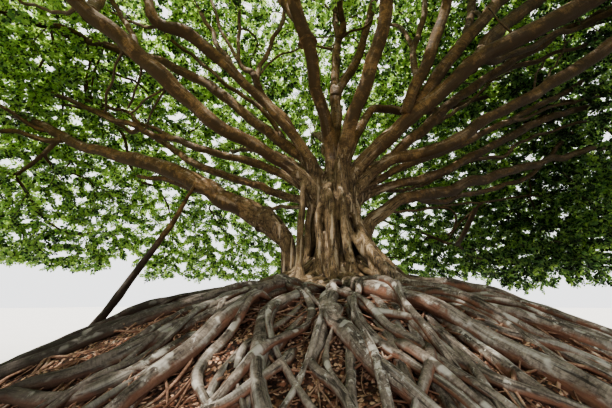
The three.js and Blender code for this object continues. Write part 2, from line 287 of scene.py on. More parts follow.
def barkMaterial(name):
    material, graph = newMaterial(name)
    grain = graph.wire("ShaderNodeAttribute", {"attribute_name": "grain"}, None, "Vector")
    rise = graph.wire("ShaderNodeAttribute", {"attribute_name": "rise"}, None, "Fac")
    place = graph.objectPlace()
    look = dict(barkLooks["rootlet"], shade=0.0) if name == "rootletBark" else zonedLook(graph, place)
    pattern = barkPattern
    patches = graph.noise(place, *pattern["patches"])
    blotches = graph.noise(grain, *pattern["blotches"])
    fibres = graph.noise(graph.drawn(grain, pattern["fibreDraw"]), *pattern["fibres"])
    rings = graph.noise(graph.drawn(grain, pattern["ringDraw"]), *pattern["rings"])
    speckle = graph.noise(grain, *pattern["speckle"])
    wide, middling, fine = pattern["toneShares"]
    tone = patches * wide + blotches * middling + speckle * fine
    colour = graph.mix(graph.band(tone, *pattern["middleFrom"]), look["dark"], look["middle"])
    colour = graph.mix(graph.band(tone, *pattern["lightFrom"]), colour, look["light"])
    colour = graph.mix(graph.band(fibres, *pattern["fibreFrom"]) * look["fibres"], colour, look["dark"])
    streaks = graph.noise(graph.drawn(grain, pattern["streakDraw"]), *pattern["streaks"])
    colour = graph.mix(graph.band(streaks, *pattern["streakFrom"]) * look["streak"], colour, look["pale"])
    colour = graph.mix(graph.band(rings, *pattern["ringFrom"]) * look["rings"], colour, look["dark"])
    close, drift = pattern["lichenShares"]
    spots = graph.noise(grain, *pattern["lichen"]) * close
    spots = spots + graph.noise(place, *pattern["lichenDrift"]) * drift
    edge = 1 - look["paleShare"]
    lichen = graph.band(spots, edge, edge + pattern["lichenBand"])
    lichen = lichen * graph.band(rise, *pattern["lichenRise"]) * pattern["lichenDepth"]
    colour = graph.mix(lichen, colour, look["pale"])
    # underside colour: a reddish earth stain on roots and rootlets, painted shade under the boughs
    small, large = pattern["ragged"]
    ragged = rise + (blotches - 0.5) * small + (patches - 0.5) * large - look["underTop"]
    under = graph.band(ragged, *pattern["underBand"]) * pattern["underDepth"]
    colour = graph.mix(under, colour, look["under"])
    # painted shade: the bark turns towards the dark root colour
    colour = graph.mix(look["shade"], colour, barkLooks["root"]["dark"])
    # painted sun flecks: pale spots on upward-facing bark, fainter under painted shade
    dapples = graph.band(graph.noise(place, *pattern["dapples"]), *pattern["dappleFrom"])
    dapples = dapples * graph.band(rise, *pattern["dappleRise"])
    open, shaded = pattern["dappleDepth"]
    colour = graph.mix(dapples * (open - look["shade"] * shaded), colour, look["pale"])
    lumps = pattern["lumps"]
    height = blotches * lumps + fibres * look["fibres"] * lumps
    height = height + rings * look["rings"] * lumps + speckle * pattern["grit"]
    depth = pattern["rootletBump" if name == "rootletBark" else "bump"]
    bump = graph.wire("ShaderNodeBump", None, {"Strength": 1.0, "Distance": depth, "Height": height})
    dull = (blotches - 0.5) * pattern["dullness"] + look["roughness"]
    graph.coat({"Base Color": colour, "Roughness": dull, "Specular IOR Level": 0.3, "Normal": bump})
    return material


plateLook = {  # fused wood between the roots: flaking chips of bark over fine dark fibre
    "chips": [(0.30, (0.020, 0.010, 0.007)), (0.44, (0.075, 0.031, 0.019)), (0.58, (0.190, 0.085, 0.052)),
              (0.72, (0.420, 0.270, 0.190))],
    "fibre": (0.016, 0.008, 0.006), "chipScale": 44.0, "bump": 0.018,
    "broad": (4.0, 4.0, 0.6), "fine": (60.0, 3.0, 0.65), "waver": (30.0, 2.0), "waverSize": 0.03,
    "gapFrom": (0.42, 0.72), "gapDepth": 0.85,
    "toneShares": (0.75, 0.35, 0.20), "darker": 0.12, "heights": (0.6, 0.8, 0.5),
}


def plateMaterial():
    material, graph = newMaterial("plateBark")
    place = graph.objectPlace()
    broad = graph.noise(place, *plateLook["broad"])
    fine = graph.noise(place, *plateLook["fine"])
    values = {0: graph.noise(place, *plateLook["waver"]), 1: [plateLook["waverSize"]] * 3, 2: place}
    wavering = graph.wire("ShaderNodeVectorMath", {"operation": "MULTIPLY_ADD"}, values)
    chips = graph.node("ShaderNodeTexVoronoi", None, {"Vector": wavering, "Scale": plateLook["chipScale"]})
    chipTone = Wire(graph, chips.outputs["Color"])
    chipEdge = Wire(graph, chips.outputs["Distance"])
    flake, patch, grit = plateLook["toneShares"]
    tone = chipTone * flake + broad * patch + fine * grit - plateLook["darker"]
    colour = graph.ramp(tone, plateLook["chips"])
    gaps = graph.band(chipEdge, *plateLook["gapFrom"])
    colour = graph.mix(gaps * plateLook["gapDepth"], colour, plateLook["fibre"])
    raised, sunk, rough = plateLook["heights"]
    height = chipTone * raised - chipEdge * sunk + fine * rough
    bump = graph.wire("ShaderNodeBump", None, {
        "Strength": 1.0, "Distance": plateLook["bump"], "Height": height})
    graph.coat({"Base Color": colour, "Roughness": 0.86 + broad * 0.1, "Specular IOR Level": 0.25,
                "Normal": bump})
    return material


leafTints = [  # painted shade and light: what each tint sends back, and what it lets through, from deep shade to backlit
    {"name": "leafDeep", "front": (0.009, 0.017, 0.008), "through": (0.018, 0.036, 0.011)},
    {"name": "leafDark", "front": (0.025, 0.048, 0.022), "through": (0.066, 0.135, 0.038)},
    {"name": "leafMiddle", "front": (0.052, 0.105, 0.050), "through": (0.180, 0.345, 0.100)},
    {"name": "leafFresh", "front": (0.104, 0.200, 0.088), "through": (0.375, 0.625, 0.165)},
    {"name": "leafYellow", "front": (0.185, 0.310, 0.110), "through": (0.660, 0.900, 0.230)},
]
leafLook = {
    "glow": 0.5,  # share of a leaf's look that is light let through
    "deeper": 0.78, "shade": (1.4, 2.0), "shadeFrom": (0.35, 0.65), "roughness": 0.42,
}


def leafMaterial(tint):
    material, graph = newMaterial(tint["name"])
    shade = graph.noise(graph.objectPlace(), *leafLook["shade"])
    deeper = tuple(leafLook["deeper"] * value for value in tint["front"])
    front = graph.mix(graph.band(shade, *leafLook["shadeFrom"]), deeper, tint["front"])
    surface = graph.wire("ShaderNodeBsdfPrincipled", None, {
        "Base Color": front, "Roughness": leafLook["roughness"], "Specular IOR Level": 0.4})
    through = graph.wire("ShaderNodeBsdfTranslucent", None, {"Color": tint["through"]})
    both = graph.wire("ShaderNodeMixShader", None, {0: leafLook["glow"], 1: surface, 2: through})
    graph.node("ShaderNodeOutputMaterial", None, {"Surface": both})
    return material


twigLook = {"colours": [(0.35, (0.050, 0.036, 0.024)), (0.65, (0.150, 0.112, 0.074))], "tone": (8.0, 3.0)}


def twigMaterial():
    material, graph = newMaterial("twigBark")
    colour = graph.ramp(graph.noise(graph.objectPlace(), *twigLook["tone"]), twigLook["colours"])
    graph.coat({"Base Color": colour, "Roughness": 0.8})
    return material


finishes = {name: barkMaterial(name) for name in ("trunkBark", "boughBark", "rootBark", "rootletBark")}
finishes["twigBark"] = twigMaterial()
finishes["plateBark"] = plateMaterial()
leafFinishes = [leafMaterial(tint) for tint in leafTints]


# Shapes from arrays

def place(bearing, out, height):
    turn = np.radians(np.asarray(bearing, float))
    return np.stack(np.broadcast_arrays(out * np.sin(turn), out * np.cos(turn), height), axis=-1)


def unit(vectors):
    return vectors / np.maximum(np.linalg.norm(vectors, axis=-1, keepdims=True), 1e-9)


def bell(values, middle, width):  # 1 at the middle and almost nothing two widths away
    return np.exp(-(((values - middle) / width) ** 2))


def ripple(points, wavelength, seed, count=14):  # smooth pseudo-random field between about -1 and 1
    rng = np.random.default_rng(seed)
    ways = unit(rng.normal(size=(count, 3))) * (2 * math.pi / wavelength) * rng.uniform(0.6, 1.7, (count, 1))
    turns = rng.uniform(0, 2 * math.pi, count)
    return np.sin(points @ ways.T + turns).sum(axis=-1) / math.sqrt(count)


def wander(points, wavelength, seed, count=5):  # the same in each of the three directions
    return np.column_stack([ripple(points, wavelength, seed + axis, count) for axis in range(3)])


def marksAlong(path):  # distance from the start at each point
    return np.concatenate([[0], np.cumsum(np.linalg.norm(np.diff(path, axis=0), axis=1))])


def smoothRoute(stations, spacing):
    stations = np.asarray(stations, float)
    steps = np.linalg.norm(np.diff(stations[:, :3], axis=0), axis=1)
    marks = np.concatenate([[0], np.cumsum(steps)])
    slopes = np.gradient(stations, marks, axis=0)
    wanted = np.linspace(0, marks[-1], max(int(marks[-1] / spacing), 3) + 1)
    cell = np.clip(np.searchsorted(marks, wanted, side="right") - 1, 0, len(steps) - 1)
    reach = steps[cell][:, None]
    t = (wanted - marks[cell])[:, None] / reach
    return ((2 * t**3 - 3 * t**2 + 1) * stations[cell] + (t**3 - 2 * t**2 + t) * reach * slopes[cell]
            + (3 * t**2 - 2 * t**3) * stations[cell + 1] + (t**3 - t**2) * reach * slopes[cell + 1])


def ringFrames(paths):
    along = unit(np.gradient(paths, axis=1))
    across = np.cross(along[:, 0], (0.31, 0.52, 0.79))
    sideways = np.empty_like(paths)
    for ring in range(paths.shape[1]):
        across = unit(across - (across * along[:, ring]).sum(-1, keepdims=True) * along[:, ring])
        sideways[:, ring] = across
    return sideways, np.cross(along, sideways)


def ringFaces(starts, rings, sides):  # faces between the rings of each tube, whose first points are given
    start = np.reshape(starts, (-1, 1, 1))
    ring = (np.arange(rings - 1) * sides)[None, :, None]
    side = np.arange(sides)
    following = (side + 1) % sides
    corners = [start + ring + side, start + ring + following, start + ring + sides + following,
               start + ring + sides + side]
    return np.stack(corners, axis=-1).reshape(-1, 4)


def tubes(paths, radii, sides, swell=None):  # paths (limbs, rings, 3), radii (limbs, rings)
    limbs, rings = radii.shape
    sideways, upward = ringFrames(paths)
    turn = 2 * math.pi * np.arange(sides) / sides
    outward = np.cos(turn)[:, None] * sideways[:, :, None] + np.sin(turn)[:, None] * upward[:, :, None]
    lengths = np.linalg.norm(np.diff(paths, axis=1), axis=-1)
    along = np.concatenate([np.zeros((limbs, 1)), np.cumsum(lengths, axis=1)], axis=1)[:, :, None]
    limb = np.arange(limbs)[:, None, None]
    thickness = np.repeat(radii[:, :, None], sides, axis=2)
    if swell is not None:
        thickness = thickness * swell(turn[None, None, :], along, limb)
    points = paths[:, :, None] + outward * thickness[..., None]
    mean = radii.mean(axis=1)[:, None, None]
    shift = 3.7 * limb  # keeps one limb's pattern off the next
    grain = [mean * np.cos(turn), mean * np.sin(turn) + shift, along + shift]
    starts = np.arange(limbs) * rings * sides
    firstCaps = starts[:, None] + np.arange(sides)[::-1]
    lastCaps = starts[:, None] + (rings - 1) * sides + np.arange(sides)
    return {
        "points": points.reshape(-1, 3), "rise": outward[..., 2].reshape(-1),
        "grain": np.stack(np.broadcast_arrays(*grain), axis=-1).reshape(-1, 3),
        "faces": [ringFaces(starts, rings, sides), firstCaps, lastCaps],
    }


def tube(route, sides, swell=None):  # one limb, from stations of place and girth
    return tubes(route[None, :, :3], route[None, :, 3] / 2, sides, swell)


def joined(shapes):
    total = 0
    faces = []
    for shape in shapes:
        faces += [group + total for group in shape["faces"]]
        total += len(shape["points"])
    result = {key: np.concatenate([shape[key] for shape in shapes]) for key in ("points", "rise", "grain")}
    result["faces"] = faces
    return result


def addField(mesh, name, data):  # a number, a vector or a whole number at each point
    if data.dtype.kind == "i":
        kind, key, data = "INT", "value", data.astype(np.int32)
    elif data.ndim == 2:
        kind, key, data = "FLOAT_VECTOR", "vector", data.astype(np.float32)
    else:
        kind, key, data = "FLOAT", "value", data.astype(np.float32)
    mesh.attributes.new(name, kind, "POINT").data.foreach_set(key, data.reshape(-1))


def setPoints(mesh, points):
    mesh.vertices.foreach_set("co", points.astype(np.float32).reshape(-1))


def readPoints(mesh, key="co"):
    flat = np.empty(len(mesh.vertices) * 3, np.float32)
    mesh.vertices.foreach_get(key, flat)
    return flat.reshape(-1, 3)


def meshObject(name, shape, material=None):
    mesh = bpy.data.meshes.new(name)
    mesh.vertices.add(len(shape["points"]))
    setPoints(mesh, shape["points"])
    if "faces" in shape:
        counts = np.concatenate([np.full(len(group), group.shape[1]) for group in shape["faces"]])
        corners = np.concatenate([group.reshape(-1) for group in shape["faces"]])
        starts = np.concatenate([[0], np.cumsum(counts)[:-1]])
        mesh.loops.add(len(corners))
        mesh.polygons.add(len(counts))
        mesh.loops.foreach_set("vertex_index", corners.astype(np.int32))
        mesh.polygons.foreach_set("loop_start", starts.astype(np.int32))
        mesh.update(calc_edges=True)
        mesh.validate()
        dress(mesh, material)
    for key, data in shape.items():
        if key not in ("points", "faces"):
            addField(mesh, key, data)
    thing = bpy.data.objects.new(name, mesh)
    bpy.context.scene.collection.objects.link(thing)
    return thing


def dress(mesh, material):
    mesh.polygons.foreach_set("use_smooth", np.ones(len(mesh.polygons), bool))
    mesh.materials.clear()
    mesh.materials.append(material)


def bakedDown(thing):  # the evaluated mesh in place of the modifiers
    bpy.context.view_layer.update()
    evaluated = thing.evaluated_get(bpy.context.evaluated_depsgraph_get())
    mesh = bpy.data.meshes.new_from_object(evaluated)
    thing.modifiers.clear()
    thing.data = mesh
    mesh.name = thing.name
    return thing


def standFor(thing, slot, *nodes):
    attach(thing, "root")
    if nodes:
        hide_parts(*nodes)
    return thing


# Geometry trees

def newTree(name, inputs):
    tree = bpy.data.node_groups.new(name, "GeometryNodeTree")
    tree.interface.new_socket("Geometry", in_out="INPUT", socket_type="NodeSocketGeometry")
    tree.interface.new_socket("Geometry", in_out="OUTPUT", socket_type="NodeSocketGeometry")
    for label, kind in inputs:
        tree.interface.new_socket(label, in_out="INPUT", socket_type=kind)
    graph = Graph(tree)
    entry = tree.nodes.new("NodeGroupInput")
    return tree, graph, {socket.name: Wire(graph, socket) for socket in entry.outputs if socket.name}


def useTree(thing, tree, values):
    modifier = thing.modifiers.new(tree.name, "NODES")
    modifier.node_group = tree
    named = {item.name: item.identifier for item in tree.interface.items_tree if item.in_out == "INPUT"}
    for label, value in values.items():
        modifier[named[label]] = value
    return bakedDown(thing)


relief = {  # lump depth and scale, groove depth and scale
    "root": (0.030, 7.0, 0.010, 24.0), "bough": (0.032, 5.0, 0.008, 20.0),
    "sideBough": (0.014, 6.0, 0.004, 20.0), "trunk": (0.024, 7.0, 0.012, 22.0),
    "lumpDraw": 0.6, "grooveDraw": 0.12,
}


def reliefTree():  # pushes bark in and out along its normal by noise in limb coordinates
    tree, graph, entry = newTree("barkRelief", [
        ("Lump Depth", "NodeSocketFloat"), ("Lump Scale", "NodeSocketFloat"),
        ("Groove Depth", "NodeSocketFloat"), ("Groove Scale", "NodeSocketFloat")])
    grain = graph.field("grain")
    lumps = graph.noise(graph.drawn(grain, relief["lumpDraw"]), entry["Lump Scale"], 2.0) - 0.5
    grooves = graph.noise(graph.drawn(grain, relief["grooveDraw"]), entry["Groove Scale"], 2.0, 0.6) - 0.5
    push = lumps * entry["Lump Depth"] + grooves * entry["Groove Depth"]
    normal = graph.wire("GeometryNodeInputNormal")
    offset = graph.wire("ShaderNodeVectorMath", {"operation": "SCALE"}, {0: normal, "Scale": push})
    moved = graph.wire("GeometryNodeSetPosition", None, {"Geometry": entry["Geometry"], "Offset": offset})
    graph.node("NodeGroupOutput", None, {0: moved})
    return tree


barkRelief = reliefTree()


def addRelief(thing, kind):
    labels = ("Lump Depth", "Lump Scale", "Groove Depth", "Groove Scale")
    return useTree(thing, barkRelief, dict(zip(labels, relief[kind])))


# Root mound

mound = {
    "rise": 2.2, "reach": 7.2, "shoulder": 1.15, "uneven": (0.035, 0.025), "unevenTurn": 20,
    "dip": 0.24, "dipOut": 1.0, "dipWidth": 1.1,  # shallow hollow round the trunk's foot, and deeper in front
    "hollow": 0.13, "hollowOut": 0.9, "hollowWidth": 0.8, "hollowBearing": 190, "hollowTurn": 32,
    "plateSink": 0.14,  # the fused plate lies this far under the outer surface of the roots
    "plateSides": 280, "plateRings": 100, "plateInner": 0.07,
    "strands": (0.020, 0.33, 5, 22), "crumbs": (0.012, 0.30, 6, 26),  # height, wavelength, seed, waves
}


def moundReach(bearing):
    large, small = mound["uneven"]
    turn = mound["unevenTurn"]
    return mound["reach"] * (1 + large * np.sin(np.radians(2 * bearing + turn))
                             + small * np.sin(np.radians(5 * bearing + 3 * turn)))


def moundHeight(bearing, out):
    share = np.minimum(out / moundReach(bearing), 1)
    aside = (np.mod(bearing, 360) - mound["hollowBearing"]) / mound["hollowTurn"]
    along = (out - mound["hollowOut"]) / mound["hollowWidth"]
    dip = mound["dip"] * bell(out, mound["dipOut"], mound["dipWidth"])
    dip = dip + mound["hollow"] * np.exp(-(aside**2) - along**2)
    return mound["rise"] * (1 + np.cos(math.pi * share ** mound["shoulder"])) / 2 - dip


def bearingOf(points):
    return np.degrees(np.arctan2(points[..., 0], points[..., 1]))


def heightAt(points):
    return moundHeight(bearingOf(points), np.hypot(points[..., 0], points[..., 1]))


# The thick roots: girth, and the bearing at each of these distances from the middle

rootOuts = [0.45, 1.2, 2.0, 2.7, 3.3, 3.9, 5.2, 6.85]
frameRoots = {
    "root_front_a": (0.250, [171, 170, 170, 165, 160, 158, 156, 153]),
    "root_front_b": (0.225, [181, 181, 182, 182, 177, 172, 174, 178]),
    "root_front_c": (0.205, [188, 189, 190, 192, 189, 183, 186, 190]),
    "root_front_d": (0.185, [194, 196, 197, 197, 197, 198, 202, 204]),
    "root_front_e": (0.195, [202, 203, 204, 203, 204, 209, 213, 216]),
    "root_front_f": (0.205, [212, 212, 213, 214, 217, 219, 223, 228]),
    "root_front_g": (0.190, [161, 160, 156, 148, 144, 142, 139, 136]),
    "root_left_a": (0.220, [226, 230, 233, 235, 236, 237, 241, 246]),
    "root_left_b": (0.235, [247, 251, 253, 254, 257, 259, 262, 266]),
    "root_left_c": (0.215, [284, 287, 291, 295, 297, 297, 293, 290]),
    "root_back_a": (0.225, [308, 311, 314, 313, 312, 314, 317, 318]),
    "root_back_b": (0.210, [333, 336, 339, 338, 336, 335, 338, 342]),
    "root_back_c": (0.225, [0, -1, -2, 0, 3, 5, 7, 5]),
    "root_back_d": (0.210, [27, 30, 33, 33, 31, 29, 31, 34]),
    "root_right_a": (0.220, [56, 59, 61, 60, 58, 58, 61, 66]),
    "root_right_b": (0.225, [88, 90, 90, 93, 95, 96, 94, 90]),
    "root_right_c": (0.215, [116, 119, 119, 117, 116, 117, 120, 117]),
}
crossingRoots = [  # smaller roots that can be told apart from the front: girth, then [bearing, out]
    (0.075, [[186, 2.9], [186, 3.3], [188, 3.54], [192, 3.73], [197, 3.95], [201, 4.6]]),
    (0.085, [[196, 2.4], [195, 3.0], [194, 3.46], [188, 3.76], [184, 4.2], [183, 5.4]]),
    (0.060, [[192, 2.9], [191, 3.28], [186, 3.74], [181, 4.1], [178, 5.0]]),
    (0.085, [[192, 2.5], [189, 3.06], [183, 3.53], [180, 3.73], [179, 4.6], [181, 6.0]]),
    (0.090, [[183, 2.6], [182, 3.04], [183, 3.26], [180, 3.5], [179, 3.68], [176, 4.4], [173, 6.2]]),
    (0.110, [[204, 1.1], [198, 1.9], [187, 2.4], [185, 2.8], [187, 3.15], [190, 3.6], [192, 4.4],
             [193, 6.0]]),
    (0.105, [[158, 1.9], [161, 2.7], [156, 3.0], [151, 3.4], [147, 4.2], [144, 6.2]]),
    (0.120, [[172, 1.3], [167, 2.0], [167, 2.5], [169, 3.0], [166, 3.46], [161, 3.74], [157, 4.6],
             [150, 6.4]]),
    (0.110, [[178, 1.4], [176, 2.17], [176, 2.9], [174, 3.2], [171, 3.5], [168, 4.2], [166, 6.3]]),
    (0.080, [[174, 2.9], [171, 3.33], [169, 3.57], [164, 4.2], [161, 5.6]]),
    (0.100, [[206, 1.0], [197, 1.84], [204, 2.2], [206, 2.44], [200, 2.9], [199, 3.2], [201, 3.9],
             [206, 5.2]]),
    (0.105, [[199, 2.9], [200, 3.3], [202, 3.68], [209, 3.97], [216, 4.8], [222, 6.4]]),
    (0.210, [[221, 0.70], [216, 0.90], [209, 1.15], [203, 1.5], [199, 1.9], [196, 2.3]]),
]
rootPlan = {
    "seed": 40, "fillCount": 70, "fillGirth": (0.12, 0.20), "frontGirth": 0.75, "frontHalf": 38,
    "fillOuts": (0.5, 1.1, 1.8, 2.6, 3.4, 4.3, 5.4), "fillEnd": (6.3, 6.95), "drift": 2.6,
    "sparse": (214, 275),  # the plate shows on the left, where only every third of these roots stands
    "forkCount": 88, "forkGirth": (0.05, 0.11), "forkStart": (1.2, 4.2), "forkLean": (5, 13),
    "forkSteps": (0, 0.35, 0.8, 1.4, 2.1, 2.8), "forkTurn": 0.7, "forkSway": 1.2, "farthest": 6.9,
    "frontStep": 0.045, "restStep": 0.08, "frontSides": 14, "restSides": 10, "fineHalf": 62,
    "tipShare": 0.34, "taperEnd": 5.5, "bedding": 0.50, "topLimit": 0.085,
    "headStart": 0.42, "headFall": 0.25,  # a root's head climbs the trunk from this far out
    "bare": (188, 28),  # roots hardly climb the trunk at this bearing
    "buriedAt": (182, 9), "buried": 0.17,  # and here their heads are sunk in the plate
    "swayStart": 0.8, "swayFull": 2.0, "swayWave": 1.3,
    "knots": (0.11, 0.5), "swells": (0.09, 1.5),  # change of girth and its wavelength
    "pointed": 0.45, "pointLength": 0.12,
    "dive": 0.11, "diveLength": 0.19,  # both ends of a side root go down into what is under them
    "smoothReach": 0.30, "lastRise": 0.11,  # roots end where the mound is this low
    "sways": {"main": 0.025, "fill": 0.05, "crossing": 0.02, "fork": 0.06},
    "seeds": {"main": 200, "fill": 100, "crossing": 300, "fork": 400}, "fillLift": (0.10, 0.25),
    "feltAt": (-0.7, 0.0, 0.7),  # a root lies on the highest spot under these places across it
    "patternShift": (1.7, 2.9, 5.3),
}


def headRise(route, lift):
    out = np.hypot(route[:, 0], route[:, 1])
    return lift * np.exp(-np.maximum(out - rootPlan["headStart"], 0) / rootPlan["headFall"])


def headLift(lift, bearing):
    buried = rootPlan["buried"] * bell(bearing, *rootPlan["buriedAt"])
    return lift * (1 - bell(bearing, *rootPlan["bare"])) - buried


def rootTaper(girth, start, end, outs):
    share = np.clip((outs - start) / (end - start), 0, 1)
    return girth * (1 + (rootPlan["tipShare"] - 1) * np.sqrt(share))


def acrossWay(route):  # level direction at right angles to the way
    return unit(np.cross(np.gradient(route, axis=0), (0, 0, 1)))


def rootRoute(girth, pairs, spacing, sway, seed):
    pairs = np.asarray(pairs, float)
    route = smoothRoute(place(pairs[:, 0], pairs[:, 1], 0.0), spacing)
    out = np.hypot(route[:, 0], route[:, 1])
    beyond = np.nonzero(heightAt(route) < rootPlan["lastRise"])[0]
    if len(beyond):
        route, out = route[: beyond[0]], out[: beyond[0]]
    start = rootPlan["swayStart"]
    fade = np.clip((out - start) / (rootPlan["swayFull"] - start), 0, 1)[:, None]
    route = route + acrossWay(route) * fade * sway * ripple(route, rootPlan["swayWave"], seed, 6)[:, None]
    girths = rootTaper(girth, pairs[0, 1], max(pairs[-1, 1], rootPlan["taperEnd"]), out)
    (knot, knotWave), (swell, swellWave) = rootPlan["knots"], rootPlan["swells"]
    knots, swells = ripple(route, knotWave, seed + 1, 6), ripple(route, swellWave, seed + 2, 6)
    return route, girths * (1 + knot * knots + swell * swells) / 2


def fillRoots(rng):  # roots at even bearings, between the listed ones
    routes = []
    count = rootPlan["fillCount"]
    low, high = rootPlan["sparse"]
    for number in range(count):
        bearing = 360 * (number + rng.uniform(0.1, 0.9)) / count
        outs = np.array([*rootPlan["fillOuts"], rng.uniform(*rootPlan["fillEnd"])])
        drift = rng.normal(0, rootPlan["drift"], len(outs)).cumsum() * np.linspace(0.5, 1.0, len(outs))
        girth = rng.uniform(*rootPlan["fillGirth"])
        if abs(bearing - 180) < rootPlan["frontHalf"]:
            girth *= rootPlan["frontGirth"]
        if number % 3 == 0 or not low < bearing < high:
            routes.append((girth, np.column_stack([bearing + drift, outs])))
    return routes


def forkRoots(rng, parents):  # thinner roots that leave a thick one and bend away from it
    routes = []
    for number in range(rootPlan["forkCount"]):
        pairs = np.asarray(parents[number % len(parents)][1], float)
        start = rng.uniform(*rootPlan["forkStart"])
        lean = rng.choice([-1, 1]) * rng.uniform(*rootPlan["forkLean"])
        outs = start + np.array(rootPlan["forkSteps"])
        outs = outs[outs < rootPlan["farthest"]]
        straight = np.interp(outs, pairs[:, 1], pairs[:, 0])
        bent = straight + lean * (1 - np.exp(-(outs - start) / rootPlan["forkTurn"]))
        bearings = bent + rng.normal(0, rootPlan["forkSway"], len(outs))
        bearings[0] = straight[0]
        if len(outs) > 3:
            routes.append((rng.uniform(*rootPlan["forkGirth"]), np.column_stack([bearings, outs])))
    return routes


class RootPile:  # height field of the mound, which each root is laid on and then adds to
    cell = 0.03
    half = 7.6

    def __init__(self):
        ticks = np.arange(-self.half, self.half, self.cell) + self.cell / 2
        grid = np.stack(np.meshgrid(ticks, ticks, indexing="ij"), axis=-1)
        self.top = heightAt(grid) - mound["plateSink"]
        self.side = len(ticks)

    def index(self, flat):
        return np.clip(((flat + self.half) / self.cell).astype(int), 0, self.side - 1)

    def topAt(self, flat):
        spot = self.index(flat)
        return self.top[spot[..., 0], spot[..., 1]]

    def lay(self, route, radii, lift):
        across = acrossWay(route)
        under = []
        for share in rootPlan["feltAt"]:
            under.append(self.topAt((route + across * share * radii[:, None])[:, :2]))
        height = np.max(under, axis=0)
        height = np.minimum(height, heightAt(route) + rootPlan["topLimit"] - radii)
        reach = max(int(rootPlan["smoothReach"] / np.linalg.norm(route[1] - route[0])), 1)
        padded = np.pad(height, reach, mode="edge")
        kernel = np.hanning(2 * reach + 3)[1:-1]
        height = np.convolve(padded, kernel / kernel.sum(), mode="valid")
        height = height + rootPlan["bedding"] * radii
        if lift is not None:
            height += headRise(route, lift)
        else:
            along = marksAlong(route)
            nearEnd = np.minimum(along, along[-1] - along)
            height -= (rootPlan["dive"] + radii) * bell(nearEnd, 0, rootPlan["diveLength"])
        height = np.maximum(height, radii)
        laid = np.column_stack([route[:, :2], height])
        self.stamp(laid, radii)
        return laid

    def stamp(self, laid, radii):
        reach = int(radii.max() / self.cell) + 1
        shifts = np.stack(np.meshgrid(*[np.arange(-reach, reach + 1)] * 2), axis=-1).reshape(-1, 2)
        spots = np.clip(self.index(laid[:, :2])[:, None] + shifts[None], 0, self.side - 1)
        centres = (spots + 0.5) * self.cell - self.half
        gaps = np.linalg.norm(centres - laid[:, None, :2], axis=-1)
        inside = gaps < radii[:, None]
        tops = laid[:, 2:3] + np.sqrt(np.maximum(radii[:, None] ** 2 - gaps**2, 0))
        np.maximum.at(self.top, (spots[..., 0][inside], spots[..., 1][inside]), tops[inside])


rootLobes = [(0.10, 2, 3.1, 1), (0.06, 3, -2.3, 2), (0.05, 0, 7.3, 1)]  # height, lobes, twist, share of limb


def rootSwell(turn, along, limb):
    broad, narrow, knots = [height * np.sin(lobes * turn + twist * along + share * limb)
                            for height, lobes, twist, share in rootLobes]
    return 1 + (broad + narrow) + knots


def isFront(pairs):
    return abs(np.mean(np.asarray(pairs, float)[:, 0]) - 180) < rootPlan["fineHalf"]


def buildRoot(pile, girth, pairs, seed, sway, lift=None):  # a root without a lift leaves and meets others
    front = isFront(pairs)
    step = rootPlan["frontStep" if front else "restStep"]
    route, radii = rootRoute(girth, pairs, step, sway, seed)
    if lift is None:
        nearEnd = step * np.minimum(np.arange(len(radii)), np.arange(len(radii))[::-1])
        radii = radii * (1 - rootPlan["pointed"] * bell(nearEnd, 0, rootPlan["pointLength"]))
    laid = pile.lay(route, radii, lift)
    sides = rootPlan["frontSides" if front else "restSides"]
    shape = tubes(laid[None], radii[None], sides, rootSwell)
    shape["grain"] += np.array(rootPlan["patternShift"]) * seed
    return shape


def finishRoots(name, shapes, *nodes):
    thing = meshObject(name, joined(shapes), finishes["rootBark"])
    addRelief(thing, "root")
    setPoints(thing.data, np.maximum(readPoints(thing.data), (-np.inf, -np.inf, 0.0)))
    return standFor(thing, "root_bark", *nodes)


def buildRoots():
    rng = np.random.default_rng(rootPlan["seed"])
    pile = RootPile()
    sways, seeds = rootPlan["sways"], rootPlan["seeds"]
    fills = fillRoots(rng)
    measured = {name: (girth, np.column_stack([bearings, rootOuts]))
                for name, (girth, bearings) in frameRoots.items()}
    forks = forkRoots(rng, fills + list(measured.values()))
    fillShapes = {False: [], True: []}
    least, more = rootPlan["fillLift"]
    for number, (girth, pairs) in enumerate(fills):
        lift = headLift(least + more * ((number * 7) % 5) / 4, pairs[0, 0])
        root = buildRoot(pile, girth, pairs, seeds["fill"] + number, sways["fill"], lift)
        fillShapes[isFront(pairs)].append(root)
    for number, (name, (girth, pairs)) in enumerate(measured.items()):
        lift = headLift(trunkPlan["headLift"], pairs[0, 0])
        root = buildRoot(pile, girth, pairs, seeds["main"] + number, sways["main"], lift)
        finishRoots(name + "_bark", [root], name)
    smaller = {}
    for kind, roots in (("crossing", crossingRoots), ("fork", forks)):
        smaller[kind] = [buildRoot(pile, girth, pairs, seeds[kind] + number, sways[kind])
                         for number, (girth, pairs) in enumerate(roots)]
    finishRoots("sideRoots", fillShapes[False])
    finishRoots("frontRoots", fillShapes[True])
    finishRoots("crossingRoots", smaller["crossing"])
    finishRoots("forkedRoots", smaller["fork"])
    report("roots laid")
    buildRootlets(pile, rng)


rootletPlan = {
    "count": 950, "radius": (0.005, 0.014), "sides": 4, "rings": 11, "length": (0.4, 1.5),
    "out": (0.9, 6.3), "farthest": 6.4, "frontBearing": (128, 232), "frontOut": (0.8, 4.6),  # half in front
    "stray": 45, "bend": 0.9, "curl": (0.5, 7, 9), "taper": (1.15, 0.8), "climb": 0.05,
}


